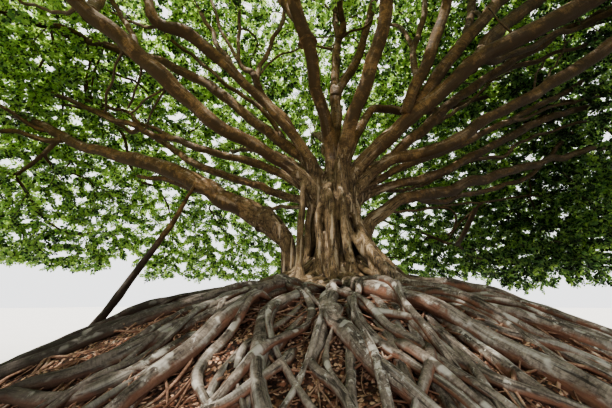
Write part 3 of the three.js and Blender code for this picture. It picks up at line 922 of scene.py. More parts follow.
def buildRootlets(pile, rng):
    plan = rootletPlan
    count, rings = plan["count"], plan["rings"]
    bearing = rng.uniform(0, 360, count)
    bearing[: count // 2] = rng.uniform(*plan["frontBearing"], count // 2)
    near, far = plan["out"]
    out = np.sqrt(rng.uniform(near**2, far**2, count))
    out[: count // 2] = rng.uniform(*plan["frontOut"], count // 2)
    start = place(bearing, out, 0.0)
    heading = np.radians(bearing + rng.normal(0, plan["stray"], count))
    length = rng.uniform(*plan["length"], count)
    share = np.linspace(0, 1, rings)
    bend = rng.normal(0, plan["bend"], count)[:, None]
    curl, waves, offset = plan["curl"]
    turn = heading[:, None] + bend * share + curl * np.sin(waves * share + bend * offset)
    steps = np.stack([np.sin(turn), np.cos(turn), 0 * turn], axis=-1) * (length / rings)[:, None, None]
    paths = start[:, None] + np.cumsum(steps, axis=1)
    keep = np.hypot(paths[..., 0], paths[..., 1]).max(axis=1) < plan["farthest"]
    paths = paths[keep]
    thick, thinning = plan["taper"]
    radii = rng.uniform(*plan["radius"], keep.sum())[:, None] * (thick - thinning * share)
    plate = heightAt(paths) - mound["plateSink"]
    surface = np.minimum(pile.topAt(paths[..., :2]), plate + plan["climb"])
    kernel = np.full(3, 1 / 3)
    surface = np.stack([np.convolve(np.pad(row, 1, mode="edge"), kernel, mode="valid") for row in surface])
    paths[..., 2] = np.maximum(surface + 0.5 * radii, radii)
    shape = tubes(paths, radii, plan["sides"])
    standFor(meshObject("rootlets", shape, finishes["rootletBark"]), "root_bark")
    report("rootlets laid")


def plateEdge(bearing):  # how far out the mound's surface comes down to the plate's lowest level
    low, high = np.zeros(len(bearing)), np.full(len(bearing), mound["reach"])
    for _ in range(24):
        middle = (low + high) / 2
        above = moundHeight(bearing, middle) > mound["plateSink"]
        low, high = np.where(above, middle, low), np.where(above, high, middle)
    return low


def buildPlate():
    sides, rings = mound["plateSides"], mound["plateRings"]
    bearing = -360 * np.arange(sides) / sides
    share = np.linspace(1, mound["plateInner"], rings)[:, None]
    out = plateEdge(bearing) * share
    points = place(bearing[None], out, moundHeight(bearing, out) - mound["plateSink"])
    strand, *strandWaves = mound["strands"]
    crumb, *crumbWaves = mound["crumbs"]
    rough = strand * ripple(points * (1.0, 1.0, 0.2), *strandWaves)
    rough = rough + crumb * ripple(points * 3.0, *crumbWaves)
    fade = np.minimum(1, (1 - share) * 12) * np.minimum(1, share * 6)
    points[..., 2] += fade * rough
    points[0, :, 2] = 0.0
    bottom = np.arange(sides)[::-1][None]
    top = ((rings - 1) * sides + np.arange(sides))[None]
    shape = {"points": points.reshape(-1, 3), "faces": [ringFaces([0], rings, sides), bottom, top]}
    standFor(meshObject("rootPlate", shape, finishes["plateBark"]), "root_bark", "trunk")
    report("root plate made")


# Boughs, with stations as [out, height, girth] at a bearing that swings from the first value to the second

boughRoutes = {
    "bough_left_low": ((271, 273), [
        [0.84, 1.78, 0.10], [0.85, 2.45, 0.17], [0.90, 2.72, 0.31], [1.11, 2.94, 0.41], [1.55, 3.19, 0.415],
        [2.03, 3.47, 0.395], [3.20, 4.15, 0.345], [5.50, 5.00, 0.25], [8.90, 6.60, 0.17]]),
    "bough_right_long": ((115, 112), [
        [0.15, 3.65, 0.27], [0.65, 4.10, 0.27], [1.50, 4.78, 0.265], [2.60, 5.40, 0.265], [4.10, 5.85, 0.26],
        [8.30, 7.30, 0.17]]),
    "bough_left_upper": ((267, 270), [
        [0.25, 3.80, 0.25], [0.50, 4.30, 0.235], [0.90, 4.70, 0.23], [1.70, 5.40, 0.22], [3.30, 6.70, 0.20],
        [7.40, 8.50, 0.16]]),
    "bough_near_left": ((200, 200), [
        [0.05, 3.60, 0.28], [0.10, 4.70, 0.27], [0.55, 5.35, 0.235], [1.00, 5.95, 0.25], [1.70, 6.75, 0.22],
        [3.40, 9.10, 0.15]]),
    "bough_near_right": ((145, 145), [
        [0.20, 3.70, 0.27], [0.70, 4.80, 0.26], [1.20, 5.40, 0.25], [1.50, 6.00, 0.25], [1.85, 6.80, 0.235],
        [3.00, 9.20, 0.15]]),
    "bough_left_long": ((238, 238), [
        [0.25, 3.50, 0.24], [1.00, 4.00, 0.23], [2.30, 4.50, 0.24], [3.60, 5.40, 0.24], [4.70, 6.10, 0.225],
        [7.60, 7.70, 0.15]]),
    "bough_left_steep": ((245, 244), [
        [0.25, 3.90, 0.21], [0.90, 4.75, 0.19], [1.66, 5.57, 0.18], [2.40, 6.09, 0.212], [3.02, 6.36, 0.226],
        [3.49, 6.52, 0.19], [3.72, 7.01, 0.17], [5.20, 9.00, 0.14]]),
    "bough_right_low": ((70, 68), [
        [0.56, 2.45, 0.27], [0.70, 3.05, 0.27], [1.10, 3.40, 0.255], [2.60, 3.90, 0.24], [5.10, 4.80, 0.20],
        [8.80, 6.00, 0.13]]),
    "bough_right_near": ((106, 104), [
        [0.25, 3.30, 0.23], [0.70, 3.85, 0.205], [2.10, 4.25, 0.195], [3.60, 4.95, 0.19], [4.60, 5.50, 0.20],
        [8.80, 6.90, 0.14]]),
    "bough_right_middle": ((86, 90), [
        [0.20, 3.60, 0.22], [0.80, 4.00, 0.21], [1.60, 4.70, 0.205], [2.40, 5.40, 0.20], [4.10, 6.60, 0.16],
        [7.50, 8.20, 0.13]]),
    "bough_right_far": ((72, 72), [
        [0.30, 3.35, 0.19], [0.90, 3.70, 0.175], [2.30, 4.20, 0.175], [4.20, 5.25, 0.19], [6.00, 6.20, 0.18],
        [8.60, 7.00, 0.13]]),
    "bough_right_thin": ((77, 75), [
        [0.30, 3.50, 0.16], [0.80, 3.85, 0.15], [2.60, 4.75, 0.15], [4.50, 5.75, 0.145],
        [7.90, 7.70, 0.115]]),
    "bough_left_thin": ((278, 274), [
        [0.20, 3.50, 0.19], [0.70, 3.85, 0.18], [1.90, 4.50, 0.175], [3.10, 4.95, 0.16], [5.40, 5.90, 0.13],
        [7.80, 7.10, 0.10]]),
    "bough_left_far": ((288, 290), [
        [0.25, 3.35, 0.19], [0.80, 3.60, 0.175], [2.10, 4.20, 0.18], [3.40, 4.80, 0.18], [5.00, 5.90, 0.17],
        [7.80, 7.90, 0.14]]),
    "bough_far_arching": ((60, 58), [
        [0.20, 4.00, 0.20], [0.80, 5.30, 0.19], [1.25, 5.85, 0.19], [2.10, 6.10, 0.195], [3.50, 6.60, 0.175],
        [6.40, 8.20, 0.13]]),
    "bough_upright": ((20, 20), [
        [0.15, 3.90, 0.26], [0.22, 5.30, 0.27], [0.50, 6.70, 0.22], [0.75, 9.30, 0.15]]),
    "bough_right_steep": ((119, 115), [
        [1.50, 4.78, 0.20], [2.10, 6.00, 0.19], [2.60, 7.30, 0.18], [3.10, 9.00, 0.13]]),
    "bough_right_high": ((113, 101), [
        [1.55, 4.80, 0.21], [2.35, 5.85, 0.21], [3.20, 6.80, 0.215], [3.90, 7.45, 0.21], [5.80, 8.90, 0.15]]),
    "bough_back_left": ((325, 322), [
        [0.20, 3.50, 0.26], [0.90, 4.25, 0.24], [2.00, 5.15, 0.225], [4.20, 6.50, 0.20], [7.30, 7.90, 0.14]]),
    "bough_back": ((355, 352), [
        [0.20, 3.70, 0.23], [0.70, 4.65, 0.22], [1.70, 5.75, 0.20], [3.30, 6.90, 0.175], [5.90, 8.50, 0.12]]),
    "bough_back_right": ((32, 30), [
        [0.25, 3.50, 0.24], [0.90, 4.15, 0.225], [2.10, 4.95, 0.21], [4.30, 6.20, 0.19], [7.50, 7.70, 0.13]]),
    "aerial_root": ((209.5, 236), [
        [1.00, 1.66, 0.38], [0.93, 1.86, 0.28], [0.865, 2.10, 0.16], [0.78, 2.45, 0.128], [0.70, 3.10, 0.112],
        [0.62, 3.76, 0.085]]),
    "prop_root": ((262, 269.5), [
        [4.22, 0.84, 0.165], [3.90, 1.34, 0.145], [3.515, 2.067, 0.118], [3.243, 2.648, 0.105],
        [2.948, 3.27, 0.085], [2.76, 3.80, 0.070], [2.68, 4.06, 0.064]]),
}
# Thinner boughs: the limb that each one leaves, its girth at both ends, how far from the eye it ends,
# and the way that it takes over the picture, in pixels
sideBoughs = {
    "left_long_fork": ("bough_left_long", (0.185, 0.265), 9.5, [
        (92, 17), (95, 7), (99, -4), (103, -22), (104, -45)]),
    "left_long_second": ("bough_left_long", (0.105, 0.1), 9.6, [
        (150, 65), (144, 56), (137, 47), (130, 32), (125, 21), (117, 8), (110, -4), (100, -30)]),
    "left_long_red": ("bough_left_long", (0.055, 0.05), 9.6, [
        (78, 6), (69, 12), (55, 13), (43, 8), (30, 4), (16, 0), (-5, -8)]),
    "left_low_outer": ("bough_left_low", (0.145, 0.095), 10.8, [
        (66, 139), (56, 140), (43, 140), (36, 138), (16, 132), (0, 131), (-30, 126)]),
    "left_low_pale": ("bough_left_low", (0.1, 0.07), 10.6, [
        (50, 130), (42, 130), (31, 125), (17, 116), (0, 106), (-25, 95)]),
    "left_low_stub": ("bough_left_low", (0.165, 0.08), 7.6, [
        (204, 187), (189, 187), (176, 183), (163, 178), (150, 177), (137, 176)]),
    "left_hanging_a": ("bough_left_long", (0.04, 0.04), 7.2, [
        (122, 42), (121, 55), (117, 68), (112, 83), (107, 95), (105, 112)]),
    "left_hanging_b": ("bough_left_long", (0.04, 0.035), 7.0, [
        (145, 60), (141, 72), (138, 85), (133, 96), (127, 108)]),
    "left_thin_upper": ("bough_left_thin", (0.105, 0.085), 11.3, [
        (170, 138), (160, 131), (150, 127), (139, 123), (128, 112), (112, 109), (95, 103), (70, 96)]),
    "left_thin_lower": ("bough_left_thin", (0.095, 0.075), 11.4, [
        (140, 131), (133, 132), (123, 126), (114, 121), (108, 115), (103, 112), (85, 108), (60, 104)]),
    "left_inner": ("bough_left_steep", (0.175, 0.15), 6.5, [
        (311, 162), (303, 150), (295, 134), (285, 119), (273, 108), (264, 95), (257, 84), (252, 73)]),
    "left_fan_a": ("left_inner", (0.1, 0.095), 9.8, [
        (255, 80), (258, 70), (266, 55), (274, 38), (282, 23), (285, 10), (287, -12)]),
    "left_fan_b": ("left_inner", (0.09, 0.075), 9.7, [
        (252, 74), (243, 68), (239, 58), (238, 45), (240, 26), (240, 8), (239, -15)]),
    "left_fan_c": ("left_inner", (0.085, 0.065), 9.8, [
        (253, 75), (240, 64), (232, 49), (225, 38), (219, 23), (213, 8), (206, -12)]),
    "left_fan_d": ("bough_left_steep", (0.105, 0.09), 9.8, [
        (236, 69), (229, 58), (218, 46), (212, 32), (205, 20), (197, 8), (188, -10)]),
    "left_fan_e": ("left_inner", (0.045, 0.05), 10.2, [
        (257, 80), (275, 58), (292, 51), (302, 46), (312, 36)]),
    "left_middle": ("bough_left_upper", (0.105, 0.08), 10.2, [
        (284, 142), (275, 125), (262, 110), (246, 99), (230, 88), (214, 73), (204, 65), (193, 56),
        (180, 47), (168, 35), (155, 20)]),
    "near_left_fork": ("bough_near_left", (0.22, 0.265), 9.3, [
        (307, 42), (303, 30), (297, 18), (290, 8), (284, -3), (276, -22), (268, -50)]),
    "upright_right": ("bough_upright", (0.205, 0.18), 9.8, [
        (335, 98), (344, 80), (353, 68), (359, 55), (364, 39), (368, 23), (374, 4), (380, -20)]),
    "upright_twig_left": ("bough_upright", (0.065, 0.04), 8.5, [
        (337, 50), (326, 48), (317, 45), (308, 42)]),
    "upright_twig_right": ("bough_upright", (0.065, 0.04), 8.6, [
        (337, 40), (350, 32), (363, 28), (372, 22)]),
    "right_curved": ("bough_right_steep", (0.13, 0.14), 9.8, [
        (412, 94), (417, 82), (414, 65), (412, 52), (417, 36), (422, 23), (426, 0), (430, -25)]),
    "right_curved_fork": ("right_curved", (0.105, 0.085), 10.0, [
        (412, 46), (408, 36), (399, 28), (389, 24), (378, 18)]),
    "right_behind": ("bough_right_high", (0.155, 0.175), 10.0, [
        (456, 52), (462, 42), (469, 26), (472, 13), (473, 0), (475, -22)]),
    "right_behind_twig": ("bough_right_high", (0.075, 0.065), 10.0, [
        (480, 22), (478, 16), (474, 8), (470, -2)]),
    "right_dark": ("bough_right_long", (0.22, 0.265), 10.1, [
        (470, 66), (483, 50), (496, 32), (512, 19), (525, 10), (538, 0), (556, -16), (575, -35)]),
    "right_under": ("bough_right_long", (0.135, 0.09), 10.8, [
        (480, 62), (499, 58), (516, 53), (531, 48), (545, 38), (551, 34), (570, 31), (590, 24), (612, 18),
        (640, 8)]),
    "right_slender_a": ("bough_right_middle", (0.125, 0.07), 11.0, [
        (459, 96), (473, 84), (499, 73), (516, 67), (533, 62), (551, 53), (577, 48), (603, 40), (635, 32)]),
    "right_slender_b": ("bough_right_middle", (0.09, 0.075), 11.5, [
        (425, 126), (440, 121), (460, 108), (480, 93), (491, 83), (509, 73), (525, 66)]),
    "right_pale_twig": ("bough_right_long", (0.035, 0.025), 6.7, [
        (516, 38), (512, 32), (504, 23), (495, 14), (488, 8)]),
    "right_rising_a": ("bough_right_near", (0.035, 0.04), 10.7, [
        (534, 92), (538, 73), (543, 62), (550, 50)]),
    "right_rising_b": ("bough_right_near", (0.035, 0.04), 10.5, [
        (542, 86), (547, 76), (557, 62), (565, 47), (572, 36)]),
    "right_lower_b": ("bough_right_thin", (0.085, 0.065), 11.8, [
        (508, 122), (525, 119), (546, 109), (564, 104), (584, 100), (610, 93)]),
    "right_pale_low": ("bough_right_far", (0.09, 0.115), 12.9, [
        (380, 189), (395, 191), (412, 188), (427, 183), (443, 175), (458, 166), (475, 160)]),
    "right_side": ("bough_right_far", (0.1, 0.075), 12.2, [
        (458, 163), (470, 161), (486, 158), (505, 155), (518, 144), (538, 135), (555, 130), (577, 123),
        (600, 117)]),
    "right_low_second": ("bough_right_low", (0.125, 0.12), 12.2, [
        (416, 196), (425, 201), (437, 202), (460, 196), (486, 190), (512, 183), (527, 178), (539, 167),
        (550, 158), (559, 145), (572, 132)]),
    "right_low_thin": ("bough_right_low", (0.06, 0.07), 12.9, [
        (386, 209), (398, 212), (415, 210), (434, 208), (460, 204), (486, 202), (512, 198), (545, 195)]),
    "right_low_drop": ("right_low_thin", (0.06, 0.045), 8.7, [
        (438, 208), (450, 210), (455, 215), (455, 227), (448, 236)]),
    "right_low_drop_b": ("right_low_thin", (0.06, 0.05), 10.4, [
        (482, 203), (476, 208), (466, 217), (456, 228), (450, 240)]),
    "left_back_thin": ("bough_left_far", (0.09, 0.135), 13.7, [
        (314, 204), (303, 207), (297, 208), (284, 207), (269, 208), (253, 205), (235, 200), (210, 190)]),
    "left_upper_end": ("bough_left_upper", (0.145, 0.08), 9.9, [
        (88, 38), (74, 32), (59, 27), (44, 24), (29, 21), (14, 15), (0, 11), (-25, 4)]),
    "left_web_stem": ("bough_left_upper", (0.08, 0.065), 11.0, [
        (48, 27), (52, 36), (54, 46), (57, 58), (59, 72), (60, 86)]),
    "left_web_a": ("left_web_stem", (0.06, 0.045), 10.9, [
        (54, 46), (48, 54), (41, 64), (35, 74), (30, 88)]),
    "left_web_b": ("left_web_stem", (0.065, 0.06), 10.9, [
        (55, 42), (62, 51), (70, 52), (82, 57), (94, 63), (104, 68), (115, 73)]),
    "left_web_c": ("bough_left_upper", (0.055, 0.045), 10.2, [
        (86, 38), (88, 46), (90, 58), (89, 70), (86, 80)]),
    "left_web_d": ("bough_left_upper", (0.055, 0.04), 9.9, [
        (103, 43), (101, 54), (97, 66), (94, 77), (92, 86)]),
    "left_web_e": ("bough_left_long", (0.035, 0.03), 6.5, [
        (163, 91), (154, 97), (146, 101), (137, 106), (129, 112)]),
    "left_web_f": ("bough_left_long", (0.035, 0.03), 6.6, [
        (161, 90), (158, 102), (153, 112), (148, 122), (144, 130)]),
    "left_s_fork": ("bough_left_steep", (0.065, 0.05), 9.5, [
        (156, 30), (148, 27), (140, 24), (131, 22), (120, 16), (108, 8)]),
}
boughPlan = {
    "spacing": 0.07, "sides": 16, "sway": (0.035, 1.5), "kink": (0.012, 0.7),  # size and wavelength
    "knots": (0.045, 0.6), "stemFreedom": 0.25, "patternShift": (0.37, 0.73, 1.1),
    "sideSpacing": 0.08, "sideSides": 10, "sideSway": (0.02, 0.9), "sideKnots": (0.06, 0.5),
    "collar": 0.55, "collarLength": 0.16, "sideSeeds": (50, 90), "fade": 6,
}
standingStems = ("aerial_root", "prop_root")


def boughRoute(name):
    (first, last), stations = boughRoutes[name]
    stations = np.asarray(stations)
    bearings = np.linspace(first, last, len(stations))
    places = place(bearings, stations[:, 0], stations[:, 1])
    route = smoothRoute(np.column_stack([places, stations[:, 2]]), boughPlan["spacing"])
    fade = np.clip(np.linspace(0, boughPlan["fade"], len(route)), 0, 1)[:, None]
    seed = sum(map(ord, name))
    (sway, swayWave), (kink, kinkWave) = boughPlan["sway"], boughPlan["kink"]
    knot, knotWave = boughPlan["knots"]
    sways, kinks = wander(route[:, :3], swayWave, seed), wander(route[:, :3], kinkWave, seed + 7)
    freedom = boughPlan["stemFreedom"] if name in standingStems else 1.0
    route[:, :3] += fade * freedom * (sway * sways + kink * kinks)
    route[:, 3] *= 1 + knot * ripple(route[:, :3], knotWave, seed + 4, 6)
    return route[:, :3], route[:, 3] / 2


def sideRoute(limb, girths, reach, pixels):  # from the middle of a limb on, as the picture shows it
    path, _ = limb
    pixels = np.array(pixels, float)
    width, height = view["picture"]
    across, upward = 2 * pixels[:, 0] / width - 1, (height - 2 * pixels[:, 1]) / width
    ahead, right, up = viewAxes()
    ways = unit(ahead + across[:, None] * right + upward[:, None] * up)
    limbAcross, limbUpward, depth = seenAt(path)
    miss = np.where(depth > 0.5, np.hypot(limbAcross - across[0], limbUpward - upward[0]), np.inf)
    start = path[np.argmin(miss)]
    first = np.linalg.norm(start - view["stand"])
    marks = np.concatenate([[0], np.cumsum(np.linalg.norm(np.diff(pixels, axis=0), axis=1))])
    points = view["stand"] + ways * (first + (reach - first) * marks / marks[-1])[:, None]
    points[0] = start
    return smoothRoute(np.column_stack([points, np.linspace(*girths, len(points))]), boughPlan["sideSpacing"])


boughLobes = [(0.035, 2, 1.7, 0), (0.025, 3, -2.9, 1)]  # height, lobes, twist and where it starts


def boughSwell(turn, along, limb):
    broad, narrow = [height * np.sin(lobes * turn + twist * along + start)
                     for height, lobes, twist, start in boughLobes]
    return 1 + broad + narrow


def sideBough(number, limb, trace):
    (sway, swayWave), (knot, knotWave) = boughPlan["sideSway"], boughPlan["sideKnots"]
    waySeed, girthSeed = boughPlan["sideSeeds"]
    route = sideRoute(limb, *trace)
    path = route[:, :3] + sway * wander(route[:, :3], swayWave, waySeed + 3 * number)
    path[0] = route[0, :3]
    along = np.arange(len(path)) * boughPlan["sideSpacing"]
    radii = route[:, 3] / 2 * (1 + boughPlan["collar"] * np.exp(-along / boughPlan["collarLength"]))
    return path, radii * (1 + knot * ripple(path, knotWave, girthSeed + number, 6))


def buildBoughs():
    patternShift = np.array(boughPlan["patternShift"])
    routes = {}
    for name in boughRoutes:
        path, radii = boughRoute(name)
        routes[name] = (path, radii)
        if name == "prop_root":
            path[0, 2] = max(path[0, 2], radii[0])
        shape = tubes(path[None], radii[None], boughPlan["sides"], boughSwell)
        shape["grain"] += sum(map(ord, name)) * patternShift
        thing = meshObject(name + "_bark", shape, finishes["boughBark"])
        addRelief(thing, "bough")
        standFor(thing, "bough_bark", name)
    shapes = []
    for number, (name, (parent, *trace)) in enumerate(sideBoughs.items()):
        path, radii = routes[name] = sideBough(number, routes[parent], trace)
        shapes.append(tubes(path[None], radii[None], boughPlan["sideSides"], boughSwell))
        shapes[-1]["grain"] += number * patternShift
    thing = meshObject("sideBoughs", joined(shapes), finishes["boughBark"])
    addRelief(thing, "sideBough")
    standFor(thing, "bough_bark")
    report("boughs made")
    return routes


# Trunk: a core, upright aerial roots grown onto it, bough bases and root heads, fused by remeshing

trunkPlan = {
    "core": [[1.68, 0.42], [2.10, 0.33], [2.60, 0.25], [3.00, 0.23], [3.40, 0.25], [3.60, 0.22],
             [3.78, 0.10]],  # height, radius
    "coreRings": 60, "coreSides": 40, "coreLobes": (0.05, 7), "lean": 0.06,
    "stubLength": 0.70, "stubFlare": (1.08, 0.92),
    "headLength": 0.75, "headLift": 0.34, "headStep": 0.05, "headSink": 0.03, "headFlare": (1.15, 0.85),
    "strandHeights": (2.14, 2.55, 3.00, 3.30, 3.52, 3.72), "strandSink": 0.05,
    "strandGirths": (1.35, 1.20, 1.05, 1.0, 0.92, 0.72, 0.40), "strandTurn": 3.5, "strandStray": 0.02,
    "footShare": 0.62, "flareFrom": 0.65, "flareShare": 0.28, "step": 0.05,
    "columnStart": 0.45,  # a bough turns into a column of the trunk this far along
    "columnOuts": [(0.26, 2.30, 0.60), (0.27, 2.75, 0.70), (0.31, 3.20, 0.85)],  # out, height, share of girth
    "columnTop": (1.04, 0.94), "columnJoin": 4,
    "strandTucks": (0.02, 0.02, 0.10, 0.22),  # out above the foot, then in towards the fork
    "strandSides": 12, "stubSides": 14, "seed": 700, "voxel": 0.0225, "smoothing": 1,
}
trunkStrands = [  # bearing at mid-height, girth, how far from the middle it stands, how far out its foot is
    (246, 0.120, 0.48, 0.62), (231, 0.080, 0.36, 0.60), (211, 0.130, 0.470, 0.64), (197, 0.075, 0.40, 0.58),
    (185, 0.145, 0.475, 0.62), (172, 0.075, 0.38, 0.60), (160, 0.140, 0.475, 0.85), (147, 0.115, 0.44, 1.10),
    (133, 0.150, 0.47, 1.40), (116, 0.160, 0.46, 1.25), (97, 0.090, 0.37, 0.95), (84, 0.165, 0.45, 1.10),
    (66, 0.100, 0.37, 0.90), (52, 0.170, 0.45, 1.00), (34, 0.090, 0.37, 0.90), (18, 0.170, 0.45, 0.95),
    (2, 0.090, 0.37, 0.90), (346, 0.175, 0.45, 1.00), (328, 0.090, 0.37, 0.90), (310, 0.170, 0.45, 1.00),
    (292, 0.100, 0.37, 0.90), (274, 0.140, 0.46, 0.80), (260, 0.080, 0.37, 0.75),
]
lowBoughLegs = [  # the low left bough stands on two grown-together columns: out, height, girth
    [[0.93, 1.72, 0.20], [0.905, 2.10, 0.150], [0.905, 2.45, 0.150], [0.94, 2.76, 0.17], [1.10, 2.95, 0.20]],
    [[0.74, 1.72, 0.19], [0.765, 2.10, 0.140], [0.770, 2.45, 0.140], [0.83, 2.74, 0.16], [1.00, 2.96, 0.18]],
]
lowBoughPlan = {
    "bearing": 271, "bendStart": 0.85, "bendLength": 1.15, "bendGirth": 1.02,
    "collarAt": 1.50, "collar": 0.20, "collarWidth": 0.05, "sides": 16,
}
looseBoughs = ("bough_left_low", "aerial_root", "prop_root", "bough_right_steep", "bough_right_high")


def strandTube(bearing, girth, reach, foot, seed):
    rng = np.random.default_rng(seed)
    turn = rng.normal(0, trunkPlan["strandTurn"], 4)
    near = rng.uniform(-trunkPlan["strandStray"], trunkPlan["strandStray"], 3)
    flare = max(foot - trunkPlan["flareFrom"], 0)
    share = trunkPlan["footShare"]
    turns = np.array([turn[0], turn[1], turn[1] / 2, turn[2], -turn[2], turn[3], 0])
    out, *tucks = trunkPlan["strandTucks"]
    outs = [foot, share * foot + (1 - share) * reach, reach + out + trunkPlan["flareShare"] * flare,
            reach + near[0], reach + near[1] - tucks[0], reach + near[2] - tucks[1], reach - tucks[2]]
    heights = [float(moundHeight(bearing, foot)) - trunkPlan["strandSink"], *trunkPlan["strandHeights"]]
    girths = girth * np.array(trunkPlan["strandGirths"])
    stations = np.column_stack([place(bearing + turns, outs, heights), girths])
    return tube(smoothRoute(stations, trunkPlan["step"]), trunkPlan["strandSides"])


def coreShape():
    profile = np.array(trunkPlan["core"])
    heights = np.linspace(profile[0, 0], profile[-1, 0], trunkPlan["coreRings"])
    radii = np.interp(heights, profile[:, 0], profile[:, 1])
    lean = trunkPlan["lean"] * (heights - heights[0]) / (heights[-1] - heights[0])
    path = np.column_stack([lean, 0 * heights, heights])
    depth, lobes = trunkPlan["coreLobes"]
    return tubes(path[None], radii[None], trunkPlan["coreSides"],
                 lambda turn, along, limb: 1 + depth * np.sin(lobes * turn + along))


def lowBoughFoot(path, radii):
    plan = lowBoughPlan
    along = marksAlong(path)
    bend = (along > plan["bendStart"]) & (along < plan["bendStart"] + plan["bendLength"])
    ring = plan["collar"] * bell(along, plan["collarAt"], plan["collarWidth"])
    girths = (radii * (plan["bendGirth"] + ring))[bend]
    shapes = [tubes(path[None, bend], girths[None], plan["sides"])]
    for stations in lowBoughLegs:
        out, height, girth = np.transpose(stations)
        route = np.column_stack([place(plan["bearing"], out, height), girth])
        shapes.append(tube(smoothRoute(route, trunkPlan["step"]), trunkPlan["strandSides"]))
    return shapes


def boughColumn(path, radii, bearing):  # a bough's wood carried on down the face of the trunk
    joint = int(trunkPlan["columnStart"] / boughPlan["spacing"])
    girth = 2 * radii[joint]
    first, second = trunkPlan["columnTop"]
    stations = [[*place(bearing, out, height), share * girth]
                for out, height, share in trunkPlan["columnOuts"]]
    stations += [[*path[joint], first * girth], [*path[joint + trunkPlan["columnJoin"]], second * girth]]
    return tube(smoothRoute(stations, trunkPlan["step"]), trunkPlan["stubSides"])


def rootHead(girth, bearings):  # a root's upper end, where it climbs the trunk
    step = trunkPlan["headStep"]
    count = int(trunkPlan["headLength"] / step)
    route, radii = rootRoute(girth, np.column_stack([bearings, rootOuts]), step, 0.0, 1)
    route, radii = route[:count], radii[:count] * np.linspace(*trunkPlan["headFlare"], count)
    lift = headLift(trunkPlan["headLift"], bearings[0])
    route[:, 2] = heightAt(route) - trunkPlan["headSink"] + headRise(route, lift)
    return tubes(route[None], radii[None], trunkPlan["strandSides"])


def buildTrunk(boughs):
    shapes = [coreShape()] + lowBoughFoot(*boughs["bough_left_low"])
    for number, strand in enumerate(trunkStrands):
        shapes.append(strandTube(*strand, trunkPlan["seed"] + number))
    count = int(trunkPlan["stubLength"] / boughPlan["spacing"])
    flare = np.linspace(*trunkPlan["stubFlare"], count)
    for name, ((bearing, _), _) in boughRoutes.items():
        if name not in looseBoughs:
            path, radii = boughs[name]
            shapes.append(tubes(path[None, :count], (radii[:count] * flare)[None], trunkPlan["stubSides"]))
            shapes.append(boughColumn(path, radii, bearing))
    shapes += [rootHead(*root) for root in frameRoots.values()]
    thing = meshObject("trunkBark", joined(shapes), finishes["trunkBark"])
    remesh = thing.modifiers.new("fuse", "REMESH")
    remesh.mode = "VOXEL"
    remesh.voxel_size = trunkPlan["voxel"]
    smooth = thing.modifiers.new("soften", "SMOOTH")
    smooth.iterations = trunkPlan["smoothing"]
    smooth.factor = 0.5
    mesh = bakedDown(thing).data
    addField(mesh, "rise", readPoints(mesh, "normal")[:, 2])
    addField(mesh, "grain", readPoints(mesh))
    dress(mesh, finishes["trunkBark"])
    addRelief(thing, "trunk")
    standFor(thing, "trunk_bark", "trunk")
    report(f"trunk fused, {len(thing.data.polygons)} faces")


# Crown

crown = {
    "seed": 17, "middle": 4.6,
    "inner": (8.0, 3.65), "outer": (10.0, 6.6),  # reach and rise of the umbrella's two ellipses
    "low": (-10.2, -10.6, 2.2), "high": (10.2, 10.6, 11.2), "jitter": 0.42,
    "limbSpacing": 1.20, "twigSpacing": 0.50,
    "kept": (0.45, 0.75),  # share of places that get a branch on the inner ellipse, and its rise outwards
    "spill": 0.12, "limbSpill": 0.05, "fillReach": 0.60, "fillWithin": (1.02, 0.96), "hem": -2.1,
    "nearest": 1.9,
    "bareBelow": 4.4, "boughStep": 3,  # where on the boughs limbs may start
    "leave": 0.38, "arrive": 0.30, "outward": 0.55, "centre": 4.0, "flatten": 0.35,
    "limb": {"step": 0.20, "turnCost": 0.55, "trailCost": 0.30, "sides": 7, "rings": 14, "wander": 0.05},
    "branchlet": {"step": 0.15, "turnCost": 0.45, "trailCost": 0.10, "sides": 3, "rings": 3,
                  "wander": 0.05},
    "tipRadius": 0.0045, "pipe": 0.43,
    "viewEdge": (1.05, 0.72), "viewCell": 0.08, "evenness": 0.8,  # how far the foliage in view is evened out
    "gapCell": 0.045, "gapLevel": 0.95, "gapTwigs": 4, "gapTries": 28, "gapDepths": (3.5, 14.0),
    "pathSteps": (3, 22), "viewStride": 64,
}
needPlan = {  # denser and thinner parts of the foliage in view: how much, and where they come in
    "right": (0.55, (0.15, 0.60)), "rightTop": (0.75, (0.35, 0.60)),
    "lowRight": (0.40, (0.18, 0.42), (0.15, -0.05)), "lowLeft": (-0.16, (-0.05, -0.45), (0.22, -0.05)),
    "highLeft": (0.20, (-0.45, -0.75), (0.20, 0.45)), "topMiddle": (-0.32, (0.40, 0.15), (0.30, 0.55)),
    "middle": 0.05,
}


def massObjects():
    return [name for name in frame["nodes"] if name.startswith("leaves_")]


def massTree(name):
    mesh = bpy.data.objects[name].data
    points = [tuple(vertex.co) for vertex in mesh.vertices]
    return BVHTree.FromPolygons(points, [tuple(face.vertices) for face in mesh.polygons])


def umbrella(points):  # how far out a spot is, as a share of the inner and of the outer ellipse
    out = np.hypot(points[:, 0], points[:, 1])
    lift = points[:, 2] - crown["middle"]
    return [np.hypot(out / reach, lift / rise) for reach, rise in (crown["inner"], crown["outer"])]


def crownDepth(points):  # 0 on the inner ellipse of the umbrella, 1 on the outer
    inner, outer = umbrella(points)
    return np.clip((inner - 1) / np.maximum(inner - 1 + 1 - outer, 1e-3), 0, 1)


def spillReach(points):  # how far outside a leaf mass a twig may end: far only in a gap between masses
    inner, outer = umbrella(points)
    low, high = crown["fillWithin"]
    within = (inner > low) & (outer < high) & (points[:, 2] - crown["middle"] > crown["hem"])
    return np.where(within, crown["fillReach"], crown["spill"])


def ramped(values, low, high):
    share = np.clip((values - low) / (high - low), 0, 1)
    return share * share * (3 - 2 * share)


